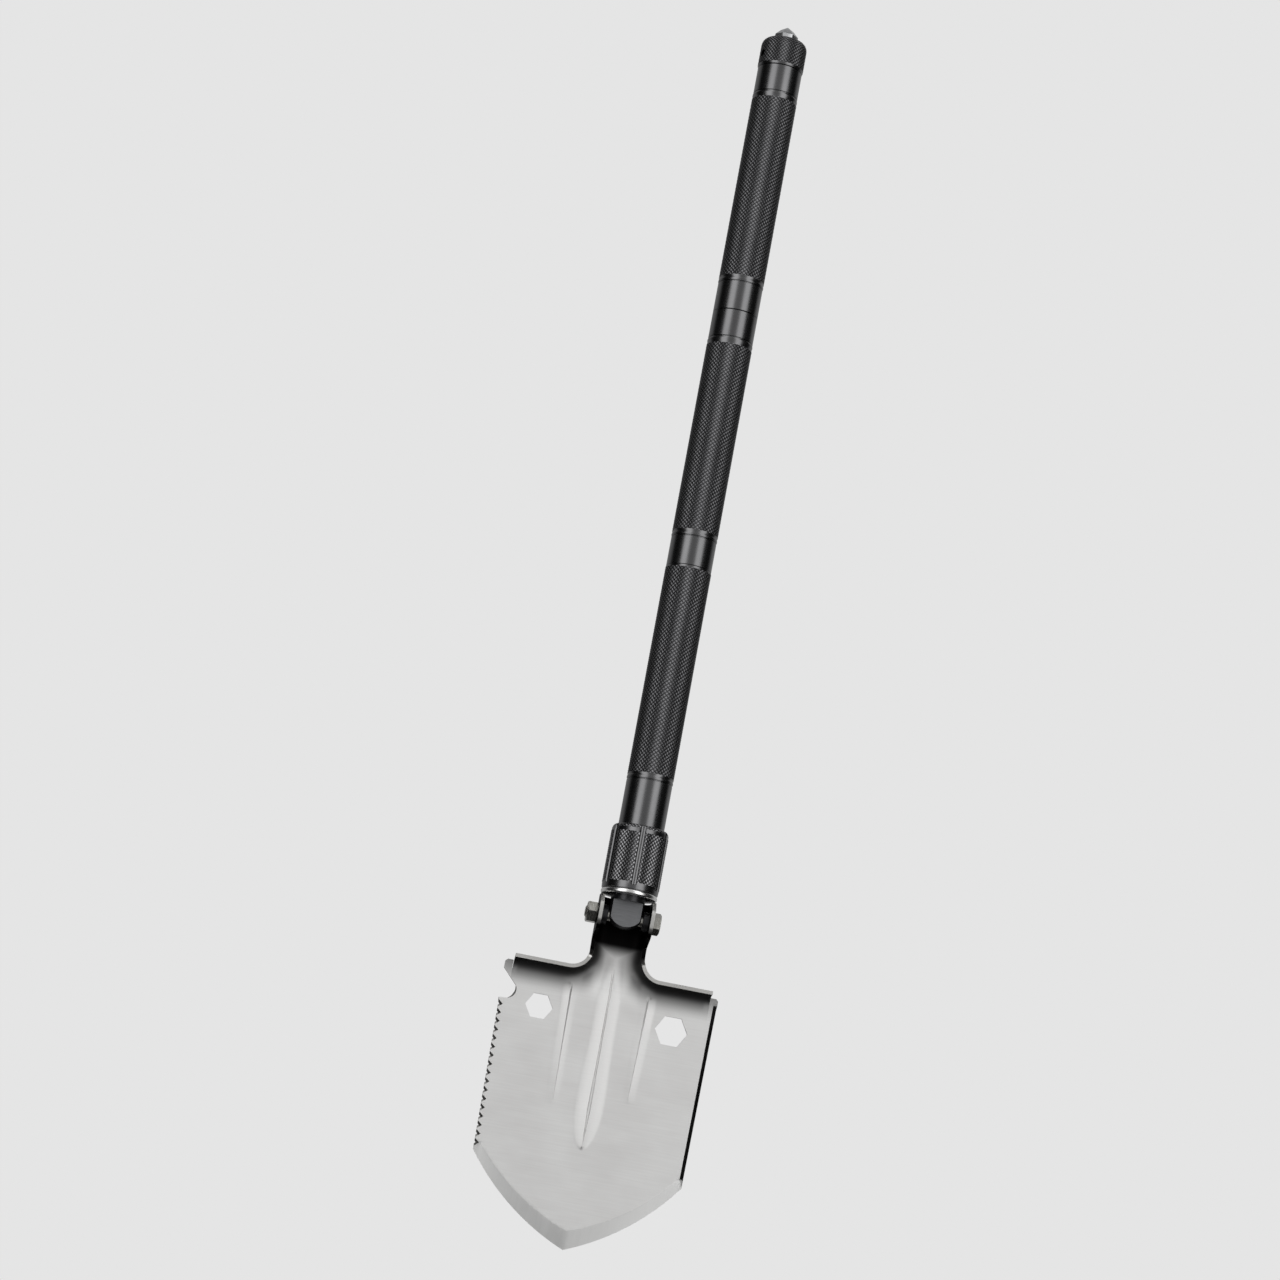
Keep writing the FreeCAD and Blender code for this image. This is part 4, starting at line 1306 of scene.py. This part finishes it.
blade = smoothed(place("blade_pressed", build_blade()), 30.0)
BRUSH = (30.0, 30.0, 0.9)  # streak length and spacing, in mm
# the brushed finish carries painted shade in the neck, ears and bends
for finish in (
    steel_finish("brushed_stainless_steel", "#e9e9e8", "#dcdbda", BRUSH, 0.55, painted_neck_and_bend_shade),
    # ground steel has its own grain, and is painted a little darker than the brushed face as shade for the
    # bevels' darker reflection
    steel_finish("ground_stainless_steel", "#dededd", "#d1d1d0", (2.0, 30.0, 30.0), 0.5),
    # the sheared finish carries a painted dark reflection along the neck's cut edge
    steel_finish("sheared_stainless_steel", "#dcdbd8", "#cbcac7", (1.2, 8.0, 1.2), 0.3, painted_edge_dark_reflection),
    # honed steel painted much darker than the rest, as a painted dark reflection
    steel_finish("honed_steel_painted_dark_reflection", "#8e8d8b", "#7d7c7a", (2.0, 30.0, 30.0), 0.2),
):
    blade.data.materials.append(finish)
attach(blade, "blade_assembly")
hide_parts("blade")

# ------------------------------------------------------------------------------------------------
# Pivot bolt, lock nut and spacers. Stainless fasteners: a chamfered hex head on the right, a full
# hex lock nut on the left, and a plain sleeve on each side of the joint shaft.
# ------------------------------------------------------------------------------------------------
BOLT_AF = 13.0
BOLT_R = 3.95
BOLT_THREAD_DEPTH = 0.4
BOLT_TIP = 0.8  # chamfer at the bolt's end
THREAD_STOP = 0.5  # how far short of the ear the thread ends
HEAD_DISH = ((4.2, 0.0), (3.6, 0.25), (0.0, 0.25))  # shallow dish in the head: radius and depth
NUT_LEAD = 0.5  # countersink of the nut
HEAD_CHAMFER = 30.0
HEX_CONE = 0.3  # how far inside the flats the chamfer starts
HEX_CONE_STEPS = 4
HEX_COLUMNS = 96
SPACER_R = 6.5
SPACER_EDGE = 0.4
SPACER_COLUMNS = 72


def bright_steel():
    """Machined stainless bar: bright and smooth, with light marks from the tool."""
    material, tree, shader = new_finish("machined_stainless_steel", Metallic=1.0, Roughness=0.25)
    marks = pattern(tree, (0.7, 5.0, 5.0))
    tree.links.new(tint(tree, spread(tree, marks, 0, 1), "#a9a7a0", "#c9c8c3"), shader.inputs["Base Color"])
    tree.links.new(spread(tree, marks, 0.2, 0.34), shader.inputs["Roughness"])
    grain_bump(tree, shader, marks, 0.01, 0.3)
    return material


def hex_rows(start, length, chamfer_ends, turn):
    """Rows of a hex bar along its axis, its ends turned off to a cone that leaves round corners."""
    angles = around(HEX_COLUMNS)
    flat = BOLT_AF / 2 / np.cos((angles - turn + math.pi / 6) % (math.pi / 3) - math.pi / 6)
    corner = BOLT_AF / math.sqrt(3)
    inward = corner - BOLT_AF / 2 + HEX_CONE
    depth = inward * math.tan(math.radians(HEAD_CHAMFER))
    shares = [s / HEX_CONE_STEPS for s in range(HEX_CONE_STEPS + 1)]
    first, last = [(0.0, corner)], [(length, corner)]
    if chamfer_ends[0]:
        first = [(depth * s, corner - (1 - s) * inward) for s in shares]
    if chamfer_ends[1]:
        last = [(length - depth * (1 - s), corner - s * inward) for s in shares]
    return [(corner, start + height, corner - np.minimum(flat, cone), False) for height, cone in first + last]


fastener_finish = bright_steel()
ear_face = EAR_INNER + SHEET
bolt_low, bolt_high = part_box("pivot_bolt")
start, end = bolt_low.x / MM, bolt_high.x / MM
rows = plain((0, start), (BOLT_R - BOLT_TIP, start), (BOLT_R, start + BOLT_TIP))
rows += thread(BOLT_R, start + BOLT_TIP + 0.1, -ear_face - THREAD_STOP, HEX_COLUMNS, BOLT_THREAD_DEPTH)
rows += plain((BOLT_R, ear_face)) + hex_rows(ear_face, end - ear_face, (False, True), math.radians(30))
rows += plain(*[(radius, end - depth) for radius, depth in HEAD_DISH])
bolt = along_x(turned("pivot_bolt_hex", rows, around(HEX_COLUMNS), hollow=False), pivot)
bolt.data.materials.append(fastener_finish)
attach(bolt, "blade_assembly")
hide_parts("pivot_bolt")

nut_low, nut_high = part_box("pivot_nut")
outer, inner = nut_low.x / MM, nut_high.x / MM
rows = plain((BOLT_R, outer + NUT_LEAD), (BOLT_R + NUT_LEAD, outer))
rows += hex_rows(outer, inner - outer, (True, True), 0.0) + plain((BOLT_R, inner))
nut = along_x(turned("pivot_nut_hex", rows, around(HEX_COLUMNS)), pivot)
nut.data.materials.append(fastener_finish)
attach(nut, "blade_assembly")
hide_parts("pivot_nut")

for node in ("left_spacer", "right_spacer"):
    low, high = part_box(node)
    start, end = low.x / MM, high.x / MM
    rows = plain((BOLT_R, start), (SPACER_R - SPACER_EDGE, start), (SPACER_R, start + SPACER_EDGE))
    rows += plain((SPACER_R, end - SPACER_EDGE), (SPACER_R - SPACER_EDGE, end), (BOLT_R, end))
    sleeve = along_x(turned(node + "_sleeve", rows, around(SPACER_COLUMNS)), pivot)
    sleeve.data.materials.append(shaft.data.materials[0])
    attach(sleeve, "blade_assembly")
    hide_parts(node)

# ------------------------------------------------------------------------------------------------
# Studio. A pale floor below the shovel, a plain pale backdrop, two tall soft lights in front, one
# on each side of the camera, and dark gaps beside them that draw the edges of round parts.
# ------------------------------------------------------------------------------------------------
BACKDROP = "#e5e5e5"
FLOOR_Z = -0.62
FLOOR_R = 5.0
FLOOR_FADE = (0.3, 0.95)  # shares of its radius between which the floor fades into the backdrop
FLOOR_COLUMNS = 96
CAMERA_AZIMUTH = -5.0
CAMERA_ELEVATION = -12.5
CAMERA_DISTANCE = 2.426
CAMERA_ROLL = 10.388
CAMERA_AIM = (0.0, 0.0, 0.11506)
CAMERA_YAW = 0.568  # degrees that the camera looks past the shovel on its left
LENS = 101.25
STUDIO_TURN = 1.8  # degrees that the lights are turned to the left
SENSOR = 36.0
# brightness of the studio against the angle from the camera, from its left side round to its right
STUDIO = (
    (-180, 0.45), (-122, 0.45), (-106, 0.01), (-56, 0.01), (-49, 2.5), (-25, 2.6), (-17, 0.5),
    (0, 0.5), (17, 0.54), (25, 2.5), (49, 2.4), (56, 0.01), (104, 0.01), (120, 0.55), (180, 0.55),
)
# brightness against height: the sine of the angle above the horizon
STUDIO_HEIGHT = ((-1.0, 0.03), (-0.64, 0.06), (-0.46, 0.75), (-0.3, 1.0), (0.75, 1.0), (1.0, 0.5))


def steps_of(tree, value, stops, low, high):
    """Value read from a list of (place, brightness) stops, straight between them."""
    ramp = add_node(tree, "ShaderNodeValToRGB", {"Fac": spread(tree, value, 0.0, 1.0, low, high)})
    elements = ramp.color_ramp.elements
    peak = max(b for _, b in stops)
    while len(elements) < len(stops):
        elements.new(0.5)
    for element, (position, brightness) in zip(elements, stops):
        element.position = (position - low) / (high - low)
        shade = brightness / peak
        element.color = (shade, shade, shade, 1.0)
    scaled = add_node(tree, "ShaderNodeMath", {0: ramp.outputs["Color"], 1: peak}, operation="MULTIPLY")
    return scaled.outputs[0]


def studio_world():
    """Light from all round: the soft lights for the object, one plain pale tone for the camera."""
    world = bpy.data.worlds.new("studio")
    world.use_nodes = True
    tree = world.node_tree
    tree.nodes.clear()
    toward = add_node(tree, "ShaderNodeTexCoord").outputs["Generated"]
    turn = {"Vector": toward, "Angle": math.radians(STUDIO_TURN)}
    turned_to = add_node(tree, "ShaderNodeVectorRotate", turn, rotation_type="Z_AXIS").outputs["Vector"]
    axes = add_node(tree, "ShaderNodeSeparateXYZ", {"Vector": turned_to}).outputs
    front = add_node(tree, "ShaderNodeMath", {0: axes["Y"], 1: -1.0}, operation="MULTIPLY").outputs[0]
    angle = add_node(tree, "ShaderNodeMath", {0: axes["X"], 1: front}, operation="ARCTAN2").outputs[0]
    degrees = add_node(tree, "ShaderNodeMath", {0: angle, 1: 180 / math.pi}, operation="MULTIPLY").outputs[0]
    sideways = steps_of(tree, degrees, STUDIO, -180, 180)
    upward = steps_of(tree, axes["Z"], STUDIO_HEIGHT, -1, 1)
    strength = add_node(tree, "ShaderNodeMath", {0: sideways, 1: upward}, operation="MULTIPLY").outputs[0]
    lights = add_node(tree, "ShaderNodeBackground", {"Strength": strength}).outputs["Background"]
    plain_tone = add_node(tree, "ShaderNodeBackground", {"Color": linear(BACKDROP)}).outputs["Background"]
    seen = add_node(tree, "ShaderNodeLightPath").outputs["Is Camera Ray"]
    both = add_node(tree, "ShaderNodeMixShader", {0: seen, 1: lights, 2: plain_tone}).outputs[0]
    add_node(tree, "ShaderNodeOutputWorld", {"Surface": both})
    bpy.context.scene.world = world


def floor_piece():
    """Round pale floor that fades into the backdrop toward its edge."""
    material, tree, shader = new_finish("pale_studio_floor", Roughness=0.9)
    shader.inputs["Base Color"].default_value = linear("#dedede")
    where = add_node(tree, "ShaderNodeTexCoord").outputs["Object"]
    reach = add_node(tree, "ShaderNodeVectorMath", {0: where}, operation="LENGTH").outputs["Value"]
    start, end = [FLOOR_R * share for share in FLOOR_FADE]
    tree.links.new(spread(tree, reach, 1.0, 0.0, start, end), shader.inputs["Alpha"])
    disc = turned("studio_floor", plain((FLOOR_R / MM, 0), (0, 0)), around(FLOOR_COLUMNS), hollow=False)
    disc.location.z = FLOOR_Z
    disc.data.materials.append(material)
    disc.visible_glossy = False
    return disc


def studio_camera():
    """Camera a little left of the shovel and well below its middle, turned so that it leans right."""
    a, e, roll = [math.radians(v) for v in (CAMERA_AZIMUTH, CAMERA_ELEVATION, CAMERA_ROLL)]
    back = Vector((math.sin(a) * math.cos(e), -math.cos(a) * math.cos(e), math.sin(e)))
    right = Vector((0, 0, 1)).cross(back).normalized()
    up = back.cross(right)
    x_axis = right * math.cos(roll) + up * math.sin(roll)
    y_axis = up * math.cos(roll) - right * math.sin(roll)
    camera = bpy.data.objects.new("camera", bpy.data.cameras.new("camera"))
    camera.data.lens = LENS
    camera.data.sensor_width = SENSOR
    leaning = Matrix((x_axis, y_axis, back)).transposed().to_4x4()
    yaw = Matrix.Rotation(math.radians(CAMERA_YAW), 4, "Y")
    camera.matrix_world = Matrix.Translation(Vector(CAMERA_AIM) + back * CAMERA_DISTANCE) @ leaning @ yaw
    bpy.context.scene.collection.objects.link(camera)
    bpy.context.scene.camera = camera


studio_world()
floor_piece()
studio_camera()
bpy.context.scene.view_settings.view_transform = "Standard"
